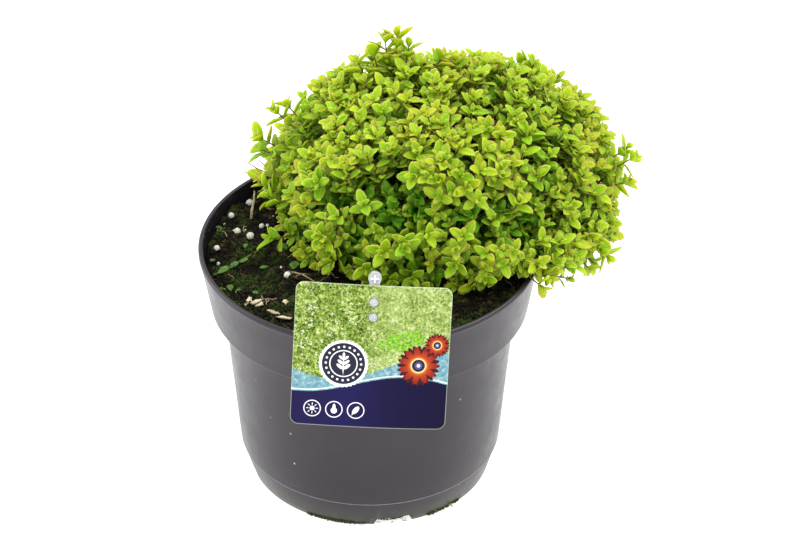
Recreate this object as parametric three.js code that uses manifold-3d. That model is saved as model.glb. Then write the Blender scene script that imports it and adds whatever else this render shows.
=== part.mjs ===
// Golden lemon thyme in a round nursery pot, with a plant label that a clear clip holds on the rim.
// Lengths are in millimetres and +Z is up. The origin is the centre of the pot's underside, on the surface
// that the pot stands on. The label is at the front, towards -Y, and the foliage leans to +X and +Y.

import * as THREE from "three";
import { mergeVertices } from "three/addons/utils/BufferGeometryUtils.js";
import Module from "manifold-3d";

const wasm = await Module();
wasm.setup();

const { PI, abs, cos, hypot, max, min, sin, sqrt } = Math;
const TURN = 2 * PI;
const GOLDEN_ANGLE = PI * (3 - sqrt(5));
const UP = new THREE.Vector3(0, 0, 1);

// Driving dimensions

const GAP = 0.35; // left between pieces that touch
const REACH = 20; // how far a cutter runs past what it cuts
const WELD = 1e-4; // vertices nearer to each other than this are one
const SEEDS = { grains: 11, shoots: 29, turns: 7 };

const POT = {
  height: 129,
  rimRadius: 85,
  wall: 1.6,
  lipWidth: 2.6,
  lipHeight: 2.8,
  lipProud: 0.6,
  edge: 0.7,
  collarLowRadius: 79.4,
  collarLowZ: 97.3,
  shoulderDrop: 2.8,
  bodyTopRadius: 72.8,
  creaseRadius: 65.6,
  creaseZ: 15.9,
  creaseLedge: 0.5,
  footRadius: 60.7,
  floorUnderside: 3.4,
  padRadius: 26,
  padSlope: 3.5,
  innerFlare: 0.5,
  segments: 44,
};
const NOTCH = { count: 4, firstDeg: -79, height: 3.5, lowWidth: 20, highWidth: 16, below: 1 };
const DRAIN = { count: 8, radius: 4.5, ringRadius: 45, sides: 10 };

const SOIL = {
  edgeZ: 122,
  mound: 3,
  relief: 1.1,
  rings: [0.3, 0.58, 0.84],
  belowRim: 2,
  bottomZ: 5.4,
};
// Three waves that make the soil's hollows: how long they are each way, their strengths and their shifts.
const WAVES = {
  broad: { x: 9, y: 11, strength: 0.6, shiftX: 1.3, shiftY: -0.4 },
  narrow: { length: 5.5, strength: 0.36 },
  slanted: { length: 7, strength: 0.3, slant: 1.6 },
};
const GRAIN = {
  sink: 0.35, // share of a grain's radius that is under the soil
  radii: [1.5, 2.4], // smallest and largest
  turns: [0.75 * PI, 1.5 * PI], // the side of the pot where the soil is bare
  out: [0.6, 0.87], // shares of the rim's radius
  small: 5,
};
const LARGE_GRAINS = [
  [-69.5, 33.5], [-66, 18.5], [-59.5, 13.5], [-54, 22], [-76, 5], [-60.5, 45], [-40.5, -22.5],
];
const CHIPS = [[-59.5, -41], [-53, -42], [-41.5, -44], [-47, -52]];
const CHIP_HALF = [2.7, 1.3, 0.9];
const CHIP_LIFT = 0.4;

const CARD = {
  width: 75,
  height: 72,
  thickness: 0.8,
  cornerRadius: 4,
  cornerSteps: 4,
  trim: 1,
  bow: 1.5,
  arcSteps: 8,
  centreX: 0.5,
  centreZ: 122.8,
  leanDeg: 17,
  rollDeg: 3,
};
const CLIP = {
  width: 5,
  thickness: 1.3,
  headRadius: 3.2,
  headDepth: 3.2,
  headAbove: 3,
  crossWidth: 1.1,
  crossLength: 4.8,
  crossProud: 0.6,
  crossSunk: 0.4,
  studRadius: 2.1,
  studProud: 0.8,
  studDrops: [8.5, 16],
  tongueDrop: 21,
  legBottomZ: 99,
  sides: 12,
};

const CROWN = new THREE.Vector3(22, 20, 121); // where the stems leave the soil
const DOME = {
  centre: new THREE.Vector3(36, 44, 128),
  half: [86, 76, 64],
  halfFront: 87,
  power: 2.3,
  halvings: 24,
};
// Two swells round the cushion: how many there are in a turn, how strong they are, and what shifts them.
const SWELLS = {
  wide: { count: 3, strength: 0.024, shift: 0.7 },
  tight: { count: 5, strength: 0.016, climb: 22 },
};
const STEM = {
  count: 14,
  lowest: -0.02,
  radii: [1.3, 1.3, 1.2, 1.1],
  sides: 5,
  holeDepth: 8,
  aboveSoil: 1.5,
  spread: 19,
  bendShare: 0.45,
  overRim: 4.2,
  cellMargin: 0.3,
};
const CORE = {
  inner: 0.36,
  inset: 10,
  centre: 0.68,
  centreClearance: 9,
  clearance: 2,
  cellMargin: 0.9,
  shortest: 1.5,
  longest: 60,
  step: 0.5,
};
const SHOOT = {
  count: 104,
  lowest: -0.12,
  halfWidth: 0.75,
  pairHeight: 1.6,
  internode: 7,
  rootShare: 0.86,
  proudLift: 0.1,
  lift: 0.42,
  cellInset: 0.08,
  insets: [0, 3.5],
  aboveSoil: 1,
  climb: [0.68, 0.88], // shares of the rim's radius between which the lowest height climbs over the rim
  overRim: 2,
  pastRim: 5,
  hangSlope: 1.3,
  clearance: 3.5,
  nearlyUpright: 0.9,
  turns: 6,
};
const LEAF = {
  length: 17,
  width: 10,
  thickness: 1.4,
  droop: 0.06,
  lowerRiseDeg: 16,
  upperRiseDeg: 40,
  upperSize: 0.82,
  sizes: [1, 0.88, 0.77, 0.66, 0.55],
};
// A leaf's rim as shares of its length and half width, from its base's left round the tip to the right.
const LEAF_RIM = [[0.3, 0.84], [0.68, 0.92], [1, 0], [0.68, -0.92], [0.3, -0.84]];
const LEAF_KEEL = 0.48;
// Shoots that stand out of the cushion: where each tip is, and how many leaf pairs are below it.
const PROUD_SHOOTS = [
  { tip: [14, 78, 199], pairsBelow: 2 },
  { tip: [4, 74, 193], pairsBelow: 1 },
  { tip: [-52, 54, 172], pairsBelow: 1 },
  { tip: [-58, 46, 152], pairsBelow: 1 },
  { tip: [128, 42, 160], pairsBelow: 1 },
  { tip: [92, -30, 128], pairsBelow: 1 },
  { tip: [-56, 22, 136], pairsBelow: 1 },
];

// Seeded random numbers between 0 and 1, the same on every run.
function randomFrom(seed) {
  let state = seed >>> 0;
  return () => {
    state = (state + 0x6d2b79f5) >>> 0;
    let t = Math.imul(state ^ (state >>> 15), state | 1);
    t ^= t + Math.imul(t ^ (t >>> 7), t | 61);
    return ((t ^ (t >>> 14)) >>> 0) / 4294967296;
  };
}

// Solids and geometries

// The closed solid of a geometry, with its shared vertices merged and its collapsed faces left out.
function solidOf(geometry) {
  const loose = geometry.index ? geometry.toNonIndexed() : geometry;
  const bare = new THREE.BufferGeometry().setAttribute("position", loose.getAttribute("position"));
  const merged = mergeVertices(bare, WELD);
  const corners = merged.index.array;
  const kept = [];
  for (let i = 0; i < corners.length; i += 3) {
    const [a, b, c] = corners.slice(i, i + 3);
    if (a !== b && b !== c && c !== a) kept.push(a, b, c);
  }
  const vertProperties = merged.attributes.position.array;
  const triVerts = new Uint32Array(kept);
  return new wasm.Manifold(new wasm.Mesh({ numProp: 3, vertProperties, triVerts }));
}

function geometryOf(solid) {
  const mesh = solid.getMesh();
  return new THREE.BufferGeometry()
    .setAttribute("position", new THREE.BufferAttribute(new Float32Array(mesh.vertProperties), 3))
    .setIndex(new THREE.BufferAttribute(new Uint32Array(mesh.triVerts), 1));
}

// The largest of a solid's bodies: a scrap that a join left loose is dropped.
function largestBody(solid) {
  return solid.decompose().reduce((best, body) => (body.volume() > best.volume() ? body : best));
}

function joined(solids) {
  return solids.reduce((whole, piece) => whole.add(piece));
}

function cutAll(solid, cutters) {
  return cutters.reduce((left, cutter) => left.subtract(cutter), solid);
}

function box(width, depth, height, x, y, z) {
  return solidOf(new THREE.BoxGeometry(width, depth, height).translate(x, y, z));
}

// A rod between two points, as a cylinder with few sides.
function rod(from, to, fromRadius, toRadius, sides) {
  const along = to.clone().sub(from);
  const direction = along.clone().normalize();
  const turn = new THREE.Quaternion().setFromUnitVectors(new THREE.Vector3(0, 1, 0), direction);
  const middle = from.clone().lerp(to, 0.5);
  const geometry = new THREE.CylinderGeometry(toRadius, fromRadius, along.length(), sides);
  return solidOf(geometry.applyQuaternion(turn).translate(...middle.toArray()));
}

// A closed solid from corners and the faces between them.
function meshSolid(corners, faces) {
  const numbers = corners.flatMap((corner) => corner.toArray());
  const places = new THREE.BufferAttribute(new Float32Array(numbers), 3);
  return solidOf(new THREE.BufferGeometry().setAttribute("position", places).setIndex(faces.flat()));
}

// A stem through points, upright at the first two of them, with a radius at each.
function stemSolid(points, radii, sides) {
  const lean = points.at(-1).clone().sub(points[0]);
  const level = new THREE.Vector3(-lean.y, lean.x, 0).normalize();
  const corners = [];
  const rings = points.map((point, i) => {
    const along = i < 2 ? UP : (points[i + 1] ?? point).clone().sub(points[i - 1]).normalize();
    const side = level.clone().addScaledVector(along, -level.dot(along)).normalize();
    const other = new THREE.Vector3().crossVectors(along, side);
    return Array.from({ length: sides }, (_, j) => {
      const turn = (TURN * j) / sides;
      const corner = point.clone().addScaledVector(side, radii[i] * cos(turn));
      return corners.push(corner.addScaledVector(other, radii[i] * sin(turn))) - 1;
    });
  });
  const faces = rings.slice(1).flatMap((ring, i) => bandFaces(rings[i], ring, []));
  const [first, last] = [rings[0], rings.at(-1)];
  for (let j = 2; j < sides; j++) {
    faces.push([first[0], first[j], first[j - 1]]);
    faces.push([last[0], last[j - 1], last[j]]);
  }
  return meshSolid(corners, faces);
}

// Pot

// The pot's profile as radius and height: from the axis under the floor, up the outside, down the inside.
function potProfile() {
  const p = POT;
  const lipLow = p.height - p.lipHeight;
  const collarTop = p.rimRadius - p.lipProud;
  const floorTop = p.floorUnderside + p.wall;
  const outside = [
    [p.padRadius, 0],
    [p.padRadius + p.padSlope, p.floorUnderside],
    [p.footRadius - 2 * p.wall, p.floorUnderside],
    [p.footRadius - 1.2 * p.wall, 0],
    [p.footRadius, 0],
    [p.creaseRadius - p.creaseLedge, p.creaseZ - p.creaseLedge],
    [p.creaseRadius, p.creaseZ],
    [p.bodyTopRadius, p.collarLowZ - p.shoulderDrop],
    [p.collarLowRadius - p.edge, p.collarLowZ - p.edge],
    [p.collarLowRadius, p.collarLowZ],
    [collarTop, lipLow],
    [p.rimRadius, lipLow + p.lipProud],
    [p.rimRadius, p.height - p.edge],
    [p.rimRadius - p.edge, p.height],
  ];
  const inside = [
    [p.rimRadius - p.lipWidth + p.edge, p.height],
    [p.rimRadius - p.lipWidth, p.height - p.edge],
    ...innerWall(),
    [p.padRadius + p.padSlope, floorTop],
    [p.padRadius, p.wall],
  ];
  return [[0, 0], ...outside, ...inside, [0, p.wall]];
}

// The inner face of the pot's side, from the lip down to the floor.
function innerWall() {
  const p = POT;
  return [
    [p.collarLowRadius - p.wall, p.collarLowZ + p.wall],
    [p.bodyTopRadius - p.wall, p.collarLowZ - p.shoulderDrop + p.wall],
    [p.creaseRadius - p.wall, p.creaseZ],
    [p.footRadius - p.wall + p.innerFlare, p.floorUnderside + p.wall],
  ];
}

// One drainage notch in the foot, as a prism with slanted sides that runs out along +X.
function notchCutter() {
  const low = NOTCH.lowWidth / 2;
  const high = NOTCH.highWidth / 2;
  const slant = (low - high) / NOTCH.height;
  const outline = new THREE.Shape();
  outline.moveTo(-low - slant * NOTCH.below, -NOTCH.below);
  outline.lineTo(low + slant * NOTCH.below, -NOTCH.below);
  outline.lineTo(high, NOTCH.height);
  outline.lineTo(-high, NOTCH.height);
  const prism = new THREE.ExtrudeGeometry(outline, { depth: REACH, bevelEnabled: false });
  return prism.rotateX(PI / 2).rotateZ(PI / 2).translate(POT.footRadius - 2 * POT.wall, 0, 0);
}

function makePot() {
  const profile = potProfile().map(([radius, z]) => new THREE.Vector2(radius, z));
  const shell = solidOf(new THREE.LatheGeometry(profile, POT.segments).rotateX(PI / 2));
  const cutters = [];
  for (let i = 0; i < NOTCH.count; i++) {
    const turn = THREE.MathUtils.degToRad(NOTCH.firstDeg) + (TURN * i) / NOTCH.count;
    cutters.push(solidOf(notchCutter().rotateZ(turn)));
  }
  for (let i = 0; i < DRAIN.count; i++) {
    const turn = (TURN * (i + 0.5)) / DRAIN.count;
    const hole = new THREE.CylinderGeometry(DRAIN.radius, DRAIN.radius, REACH, DRAIN.sides).rotateX(PI / 2);
    cutters.push(solidOf(hole.translate(DRAIN.ringRadius * cos(turn), DRAIN.ringRadius * sin(turn), 0)));
  }
  return cutAll(shell, cutters);
}

// Soil

// The radius of the pot's inner face at a height, by straight lines between the profile's points.
function innerRadius(z) {
  const wall = [[POT.rimRadius - POT.lipWidth, POT.height - POT.edge], ...innerWall()];
  for (let i = 1; i < wall.length; i++) {
    const [highRadius, highZ] = wall[i - 1];
    const [lowRadius, lowZ] = wall[i];
    if (z >= lowZ) return lowRadius + ((highRadius - lowRadius) * (z - lowZ)) / (highZ - lowZ);
  }
  return wall.at(-1)[0];
}

// The height of the soil's surface: a low mound with shallow hollows.
function soilHeight(x, y) {
  const out = hypot(x, y) / POT.rimRadius;
  const { broad, narrow, slanted } = WAVES;
  const waves = [
    broad.strength * sin(x / broad.x + broad.shiftX) * cos(y / broad.y + broad.shiftY),
    narrow.strength * sin((x + y) / narrow.length),
    slanted.strength * cos((x - slanted.slant * y) / slanted.length),
  ];
  const relief = waves.reduce((total, wave) => total + wave);
  return SOIL.edgeZ + SOIL.mound * (1 - out * out) + SOIL.relief * relief;
}

// The solid body of soil: a lathe that follows the pot's inside, with its top raised by soilHeight.
function soilBody() {
  const topRadius = innerRadius(SOIL.edgeZ) - GAP;
  const side = innerWall().map(([radius, z]) => [radius - GAP * 1.2, z]).reverse().slice(1);
  const cornerRadius = innerRadius(SOIL.bottomZ) - 3 * GAP;
  const top = [...SOIL.rings].reverse().map((share) => [topRadius * share, SOIL.edgeZ]);
  const low = [[0, SOIL.bottomZ], [cornerRadius, SOIL.bottomZ]];
  const profile = [...low, ...side, [topRadius, SOIL.edgeZ], ...top, [0, SOIL.edgeZ]];
  const points = profile.map(([radius, z]) => new THREE.Vector2(radius, z));
  const body = new THREE.LatheGeometry(points, POT.segments).rotateX(PI / 2);
  const places = body.getAttribute("position");
  for (let i = 0; i < places.count; i++) {
    const [x, y, z] = [places.getX(i), places.getY(i), places.getZ(i)];
    if (z > SOIL.edgeZ - WELD) places.setZ(i, min(soilHeight(x, y), POT.height - SOIL.belowRim));
  }
  return solidOf(body);
}

// White grains and pale chips that lie half sunk in the soil.
function soilGrains() {
  const random = randomFrom(SEEDS.grains);
  const between = (range) => THREE.MathUtils.lerp(...range, random());
  const grains = LARGE_GRAINS.map(([x, y]) => [x, y, GRAIN.radii[1]]);
  for (let i = 0; i < GRAIN.small; i++) {
    const turn = between(GRAIN.turns);
    const out = POT.rimRadius * between(GRAIN.out);
    grains.push([out * cos(turn), out * sin(turn), between(GRAIN.radii)]);
  }
  const balls = grains.map(([x, y, radius]) => {
    const ball = new THREE.IcosahedronGeometry(radius, 0).rotateX(TURN * random()).rotateZ(TURN * random());
    return solidOf(ball.translate(x, y, soilHeight(x, y) + radius * (1 - 2 * GRAIN.sink)));
  });
  const chips = CHIPS.map(([x, y]) => {
    const chip = new THREE.IcosahedronGeometry(1, 0).scale(...CHIP_HALF).rotateZ(TURN * random());
    return solidOf(chip.translate(x, y, soilHeight(x, y) + CHIP_LIFT));
  });
  return [...balls, ...chips];
}

// Plant label

// The label's own frame: x across the card, z up it and -y out of its face, from the card's centre.
function labelMatrix() {
  const lean = THREE.MathUtils.degToRad(CARD.leanDeg);
  const roll = THREE.MathUtils.degToRad(CARD.rollDeg);
  const backGap = CARD.thickness / 2 + GAP;
  const fromRim = (CARD.centreZ - POT.height) * Math.tan(lean) - backGap / cos(lean);
  const rolled = new THREE.Matrix4().makeRotationY(roll);
  const turned = new THREE.Matrix4().makeRotationX(-lean).multiply(rolled);
  const y = fromRim - POT.rimRadius;
  return new THREE.Matrix4().makeTranslation(CARD.centreX, y, CARD.centreZ).multiply(turned);
}

function roundedRectangle(width, height, radius) {
  const [w, h] = [width / 2, height / 2];
  const outline = new THREE.Shape();
  outline.moveTo(-w + radius, -h);
  outline.lineTo(w - radius, -h).absarc(w - radius, -h + radius, radius, -PI / 2, 0);
  outline.lineTo(w, h - radius).absarc(w - radius, h - radius, radius, 0, PI / 2);
  outline.lineTo(-w + radius, h).absarc(-w + radius, h - radius, radius, PI / 2, PI);
  outline.lineTo(-w, -h + radius).absarc(-w + radius, -h + radius, radius, PI, 1.5 * PI);
  return outline;
}

// The card: a strip bowed towards the front, trimmed to a rounded outline, with a hole for each stud.
function makeCard() {
  const bowRadius = CARD.width ** 2 / (8 * CARD.bow);
  const halfTurn = (CARD.width / 2 + CARD.trim) / bowRadius;
  const section = new THREE.Shape();
  const faces = [bowRadius + CARD.thickness / 2, bowRadius - CARD.thickness / 2];
  for (const [face, radius] of faces.entries()) {
    for (let i = 0; i <= CARD.arcSteps; i++) {
      const turn = (face ? 1 : -1) * halfTurn * (1 - (2 * i) / CARD.arcSteps);
      const place = [radius * sin(turn), -radius * cos(turn) + bowRadius];
      if (face || i) section.lineTo(...place);
      else section.moveTo(...place);
    }
  }
  const length = CARD.height + 2 * CARD.trim;
  const strip = new THREE.ExtrudeGeometry(section, { depth: length, bevelEnabled: false });
  strip.translate(0, 0, -length / 2);
  const outline = roundedRectangle(CARD.width, CARD.height, CARD.cornerRadius);
  const settings = { depth: REACH, bevelEnabled: false, curveSegments: CARD.cornerSteps };
  const trim = new THREE.ExtrudeGeometry(outline, settings).rotateX(PI / 2).translate(0, REACH / 2, 0);
  const holeRadius = CLIP.studRadius + GAP;
  const holes = CLIP.studDrops.map((drop) => stud(drop, holeRadius, -REACH / 2, REACH / 2));
  return cutAll(solidOf(strip).intersect(solidOf(trim)), holes);
}

// A short cylinder across the card, a given distance below its top edge.
function stud(drop, radius, frontY, backY) {
  const z = CARD.height / 2 - drop;
  return rod(new THREE.Vector3(0, frontY, z), new THREE.Vector3(0, backY, z), radius, radius, CLIP.sides);
}

// The clip: a head above the card, a tongue behind the card with two studs, and a leg into the soil.
function makeClip() {
  const top = CARD.height / 2;
  const front = CARD.thickness / 2 + GAP;
  const tongueTop = top + CLIP.headAbove;
  const tongueLength = CLIP.tongueDrop + CLIP.headAbove;
  const tongueY = front + CLIP.thickness / 2;
  const tongue = box(CLIP.width, CLIP.thickness, tongueLength, 0, tongueY, tongueTop - tongueLength / 2);
  const head = rod(
    new THREE.Vector3(0, front, tongueTop),
    new THREE.Vector3(0, front + CLIP.headDepth, tongueTop),
    CLIP.headRadius, CLIP.headRadius, CLIP.sides,
  );
  const crossDepth = CLIP.crossProud + CLIP.crossSunk;
  const crossY = front + (CLIP.crossSunk - CLIP.crossProud) / 2;
  const cross = [[CLIP.crossWidth, CLIP.crossLength], [CLIP.crossLength, CLIP.crossWidth]];
  const ribs = cross.map(([width, height]) => box(width, crossDepth, height, 0, crossY, tongueTop));
  const studFront = -CARD.thickness / 2 - CLIP.studProud;
  const studs = CLIP.studDrops.map((drop) => stud(drop, CLIP.studRadius, studFront, tongueY));
  return joined([tongue, head, ...ribs, ...studs, clipLeg(0)]);
}

// The clip's leg, from the head down into the soil, upright once the label's lean is undone. It grows by
// a margin all round for the slot that it leaves in the soil.
function clipLeg(grow) {
  const lean = THREE.MathUtils.degToRad(CARD.leanDeg);
  const topZ = CARD.height / 2 + CLIP.headAbove;
  const y = CARD.thickness / 2 + GAP + CLIP.headDepth - CLIP.thickness / 2;
  const length = CARD.centreZ + topZ * cos(lean) - CLIP.legBottomZ;
  const leg = new THREE.BoxGeometry(CLIP.width + 2 * grow, CLIP.thickness + 2 * grow, length + grow);
  return solidOf(leg.translate(0, 0, -(length + grow) / 2).rotateX(lean).translate(0, y, topZ));
}

// Foliage

// A point's place in the cushion: 0 at its centre and 1 on its surface.
function domeDepth(point) {
  const { centre, half, halfFront, power } = DOME;
  const { wide, tight } = SWELLS;
  const offset = point.clone().sub(centre).toArray();
  const reach = [half[0], offset[1] < 0 ? halfFront : half[1], half[2]];
  const sum = offset.reduce((total, value, i) => total + abs(value / reach[i]) ** power, 0);
  const turn = Math.atan2(offset[1], offset[0]);
  const wideSwell = wide.strength * sin(wide.count * turn + wide.shift);
  const tightSwell = tight.strength * sin(tight.count * turn + offset[2] / tight.climb);
  return sum ** (1 / power) / (1 + wideSwell + tightSwell);
}

// How far the cushion reaches from the crown in a direction.
function domeReach(direction) {
  let [low, high] = [0, 3 * DOME.half[0]];
  for (let i = 0; i < DOME.halvings; i++) {
    const middle = (low + high) / 2;
    if (domeDepth(CROWN.clone().addScaledVector(direction, middle)) < 1) low = middle;
    else high = middle;
  }
  return low;
}

// Directions from the crown to points spread evenly over the cushion, from its top down.
function spreadDirections(count, lowest) {
  const directions = [];
  for (let i = 0; i < count; i++) {
    const height = 1 - (1 - lowest) * ((i + 0.5) / count);
    const out = sqrt(max(0, 1 - height * height));
    const turn = i * GOLDEN_ANGLE;
    const onBall = [out * cos(turn), out * sin(turn), height];
    const place = onBall.map((value, axis) => value * DOME.half[axis]);
    directions.push(new THREE.Vector3(...place).add(DOME.centre).sub(CROWN).normalize());
  }
  return directions;
}

const stemDirections = spreadDirections(STEM.count, STEM.lowest);

function nearestStem(direction) {
  const closeness = stemDirections.map((stem) => stem.dot(direction));
  return closeness.indexOf(max(...closeness));
}

// How far a point is inside the cone of space that belongs to one stem, past which its neighbours begin.
function cellRoom(point, stem) {
  const offset = point.clone().sub(CROWN);
  const rooms = stemDirections.map((other, i) => {
    if (i === stem) return Infinity;
    return offset.dot(stemDirections[stem].clone().sub(other).normalize());
  });
  return min(...rooms);
}

// The lowest clear height over a place: above the soil, then over the pot's rim, then beside its collar.
function lowestClear({ x, y }) {
  const out = hypot(x, y);
  const overRim = POT.height + SHOOT.overRim;
  const past = out - POT.rimRadius - SHOOT.pastRim;
  if (past > 0) return max(POT.collarLowZ, overRim - SHOOT.hangSlope * past);
  const ground = soilHeight(x, y) + SHOOT.aboveSoil;
  const climb = THREE.MathUtils.smoothstep(out / POT.rimRadius, ...SHOOT.climb);
  return ground + (overRim - ground) * climb;
}

// Whether corners joined in a ring, and the points half way between them, are all in one cell and clear.
function hasRoom(corners, stem) {
  const following = corners.map((_, i) => corners[(i + 1) % corners.length]);
  const halfWay = corners.map((corner, i) => corner.clone().lerp(following[i], 0.5));
  const isFree = (point) => cellRoom(point, stem) > STEM.cellMargin && point.z > lowestClear(point);
  return [...corners, ...halfWay].every(isFree);
}

// The corners of a leaf with its base at the origin and its tip along +X: its rim and then its keel.
function leafCorners(size) {
  const [length, half] = [LEAF.length * size, (LEAF.width * size) / 2];
  const rim = LEAF_RIM.map(([along, across]) => {
    return new THREE.Vector3(along * length, across * half, -LEAF.droop * length * along * along);
  });
  return [...rim, new THREE.Vector3(LEAF_KEEL * length, 0, -LEAF.thickness)];
}

// The largest leaf for a place that stays in its stem's cell and clear of the pot, or null if none does.
function fittedLeaf(stem, place, size) {
  for (const share of LEAF.sizes) {
    const corners = leafCorners(size * share).map((corner) => corner.applyMatrix4(place));
    const base = new THREE.Vector3().applyMatrix4(place);
    if (hasRoom([...corners, base], stem)) return corners;
  }
  return null;
}

// A leaf's place on one side of a shoot, pointing away from the shoot's axis and rising by an angle.
function leafMatrix(side, height, rise) {
  const turn = new THREE.Matrix4().makeRotationZ((side * PI) / 2);
  const out = new THREE.Matrix4().makeTranslation(SHOOT.halfWidth, 0, height);
  return turn.multiply(out).multiply(new THREE.Matrix4().makeRotationY(-rise));
}

// A leaf's faces. It grows out of a four-cornered gap in a shoot's side, which is given as its corners at
// the low right, low left, high left and high right.
function leafFaces([a, b, c, d], [l1, l2, tip, r2, r1, keel]) {
  const face = [[d, r1, c], [r1, l1, c], [r1, r2, l1], [r2, l2, l1], [r2, tip, l2]];
  const edge = [b, l1, l2, tip, r2, r1, a];
  const back = edge.map((corner, i) => [corner, edge[(i + 1) % edge.length], keel]);
  return [...face, ...back, [b, c, l1], [a, r1, d]];
}

// The faces between two rings of a shoot, with its leaves in the place of the sides they grow from.
function bandFaces(low, high, leaves) {
  return low.flatMap((a, side) => {
    const next = (side + 1) % low.length;
    const quad = [a, low[next], high[next], high[side]];
    if (leaves[side]) return leafFaces(quad, leaves[side]);
    return [[quad[0], quad[1], quad[2]], [quad[0], quad[2], quad[3]]];
  });
}

// The steps of a shoot above its stalk: bare lengths, and pairs of leaves that face crosswise in turn.
function shootSteps(pairsBelow) {
  const rise = THREE.MathUtils.degToRad(LEAF.lowerRiseDeg);
  const steps = [];
  for (let i = 0; i < pairsBelow; i++) {
    steps.push({ height: SHOOT.pairHeight, sides: [i % 2, (i % 2) + 2], size: 1, rise });
    steps.push({ height: SHOOT.internode, sides: [] });
  }
  const last = pairsBelow % 2;
  const top = { size: LEAF.upperSize, rise: THREE.MathUtils.degToRad(LEAF.upperRiseDeg) };
  steps.push({ height: SHOOT.pairHeight, sides: [last, last + 2], size: 1, rise });
  steps.push({ height: SHOOT.pairHeight, sides: [1 - last, 3 - last], ...top });
  return steps;
}

function shootLength(pairsBelow) {
  return shootSteps(pairsBelow).reduce((total, step) => total + step.height, 0);
}

// A shoot as one closed solid: a four-sided stalk from its root, with crossed pairs of leaves on its sides.
function shootSolid({ stem, root, start, axis, pairsBelow }, turn) {
  const level = abs(axis.z) > SHOOT.nearlyUpright ? new THREE.Vector3(1, 0, 0) : UP;
  const side = new THREE.Vector3().crossVectors(axis, level).normalize().applyAxisAngle(axis, turn);
  const frame = new THREE.Matrix4().makeBasis(side, new THREE.Vector3().crossVectors(axis, side), axis);
  frame.setPosition(start);
  const corners = [];
  const add = (points) => points.map((point) => corners.push(point) - 1);
  const ringPoints = (height) =>
    [[1, -1], [1, 1], [-1, 1], [-1, -1]].map(([x, y]) =>
      new THREE.Vector3(x * SHOOT.halfWidth, y * SHOOT.halfWidth, height).applyMatrix4(frame));
  const foot = add(ringPoints(0).map((point) => point.add(root).sub(start)));
  let low = add(ringPoints(0));
  const faces = [[foot[0], foot[2], foot[1]], [foot[0], foot[3], foot[2]], ...bandFaces(foot, low, [])];
  let height = 0;
  for (const step of shootSteps(pairsBelow)) {
    const high = add(ringPoints(height + step.height));
    const leaves = [];
    for (const leafSide of step.sides) {
      const place = frame.clone().multiply(leafMatrix(leafSide, height + step.height / 2, step.rise));
      const leaf = fittedLeaf(stem, place, step.size);
      if (leaf) leaves[leafSide] = add(leaf);
    }
    faces.push(...bandFaces(low, high, leaves));
    height += step.height;
    low = high;
  }
  faces.push([low[0], low[1], low[2]], [low[0], low[2], low[3]]);
  return meshSolid(corners, faces);
}

// A stem's solid with one more shoot, at the turn where it has most leaves and crosses the others least.
function withShoot(body, shoot, random) {
  const first = PI * random();
  let [best, bestScore] = [null, Infinity];
  for (let i = 0; i < SHOOT.turns; i++) {
    const grown = shootSolid(shoot, first + (PI * i) / (2 * SHOOT.turns));
    const whole = body.add(grown);
    const score = whole.numTri() - 2 * grown.numTri();
    if (score < bestScore) [best, bestScore] = [whole, score];
  }
  return best;
}

// The dense inner foliage of one stem, which its shoots stand out of: as large as its cell lets it be.
function coreSolid(stem) {
  const direction = stemDirections[stem];
  const reach = domeReach(direction);
  const centre = CROWN.clone().addScaledVector(direction, CORE.centre * reach);
  centre.z = max(centre.z, lowestClear(centre) + CORE.centreClearance);
  const fits = (point) => {
    const out = point.distanceTo(CROWN);
    const edge = domeReach(point.clone().sub(CROWN).normalize());
    const inDome = out > CORE.inner * edge && out < edge - CORE.inset;
    const isHigh = point.z > lowestClear(point) + CORE.clearance;
    return inDome && isHigh && cellRoom(point, stem) > CORE.cellMargin;
  };
  const at = (ray, length) => centre.clone().addScaledVector(ray, length);
  const ball = new THREE.IcosahedronGeometry(1, 1);
  const places = ball.getAttribute("position");
  for (let i = 0; i < places.count; i++) {
    const ray = new THREE.Vector3().fromBufferAttribute(places, i).normalize();
    let length = CORE.shortest;
    while (length < CORE.longest && fits(at(ray, length + CORE.step))) length += CORE.step;
    places.setXYZ(i, ...at(ray, length).toArray());
  }
  return { solid: solidOf(ball), centre };
}

// A woody stem's route: upright out of its hole in the soil, then clear of the pot's rim, and to its core.
function stemRoute(stem, coreCentre) {
  const direction = stemDirections[stem];
  const foot = CROWN.clone();
  foot.x += STEM.spread * direction.x;
  foot.y += STEM.spread * direction.y;
  const ground = soilHeight(foot.x, foot.y);
  const bend = foot.clone().lerp(coreCentre, STEM.bendShare);
  bend.z = max(bend.z, POT.height + STEM.overRim);
  return [
    new THREE.Vector3(foot.x, foot.y, ground - STEM.holeDepth),
    new THREE.Vector3(foot.x, foot.y, ground + STEM.aboveSoil),
    bend,
    coreCentre,
  ];
}

function stemHole(route) {
  const [bottom, ground] = route;
  const low = bottom.clone().addScaledVector(UP, -GAP);
  const high = ground.clone().addScaledVector(UP, REACH / 4);
  const radius = STEM.radii[0] + 2 * GAP;
  return rod(low, high, radius, radius, STEM.sides + 1);
}

// A shoot that grows out of its stem's core towards a tip.
function shootTo(tip, lift, pairsBelow) {
  const stem = nearestStem(tip.clone().sub(CROWN).normalize());
  const root = tip.clone().lerp(cores[stem].centre, SHOOT.rootShare);
  const axis = tip.clone().sub(root).normalize().addScaledVector(UP, lift).normalize();
  const start = tip.clone().addScaledVector(axis, -shootLength(pairsBelow));
  return { stem, root, start, axis, pairsBelow };
}

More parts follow.
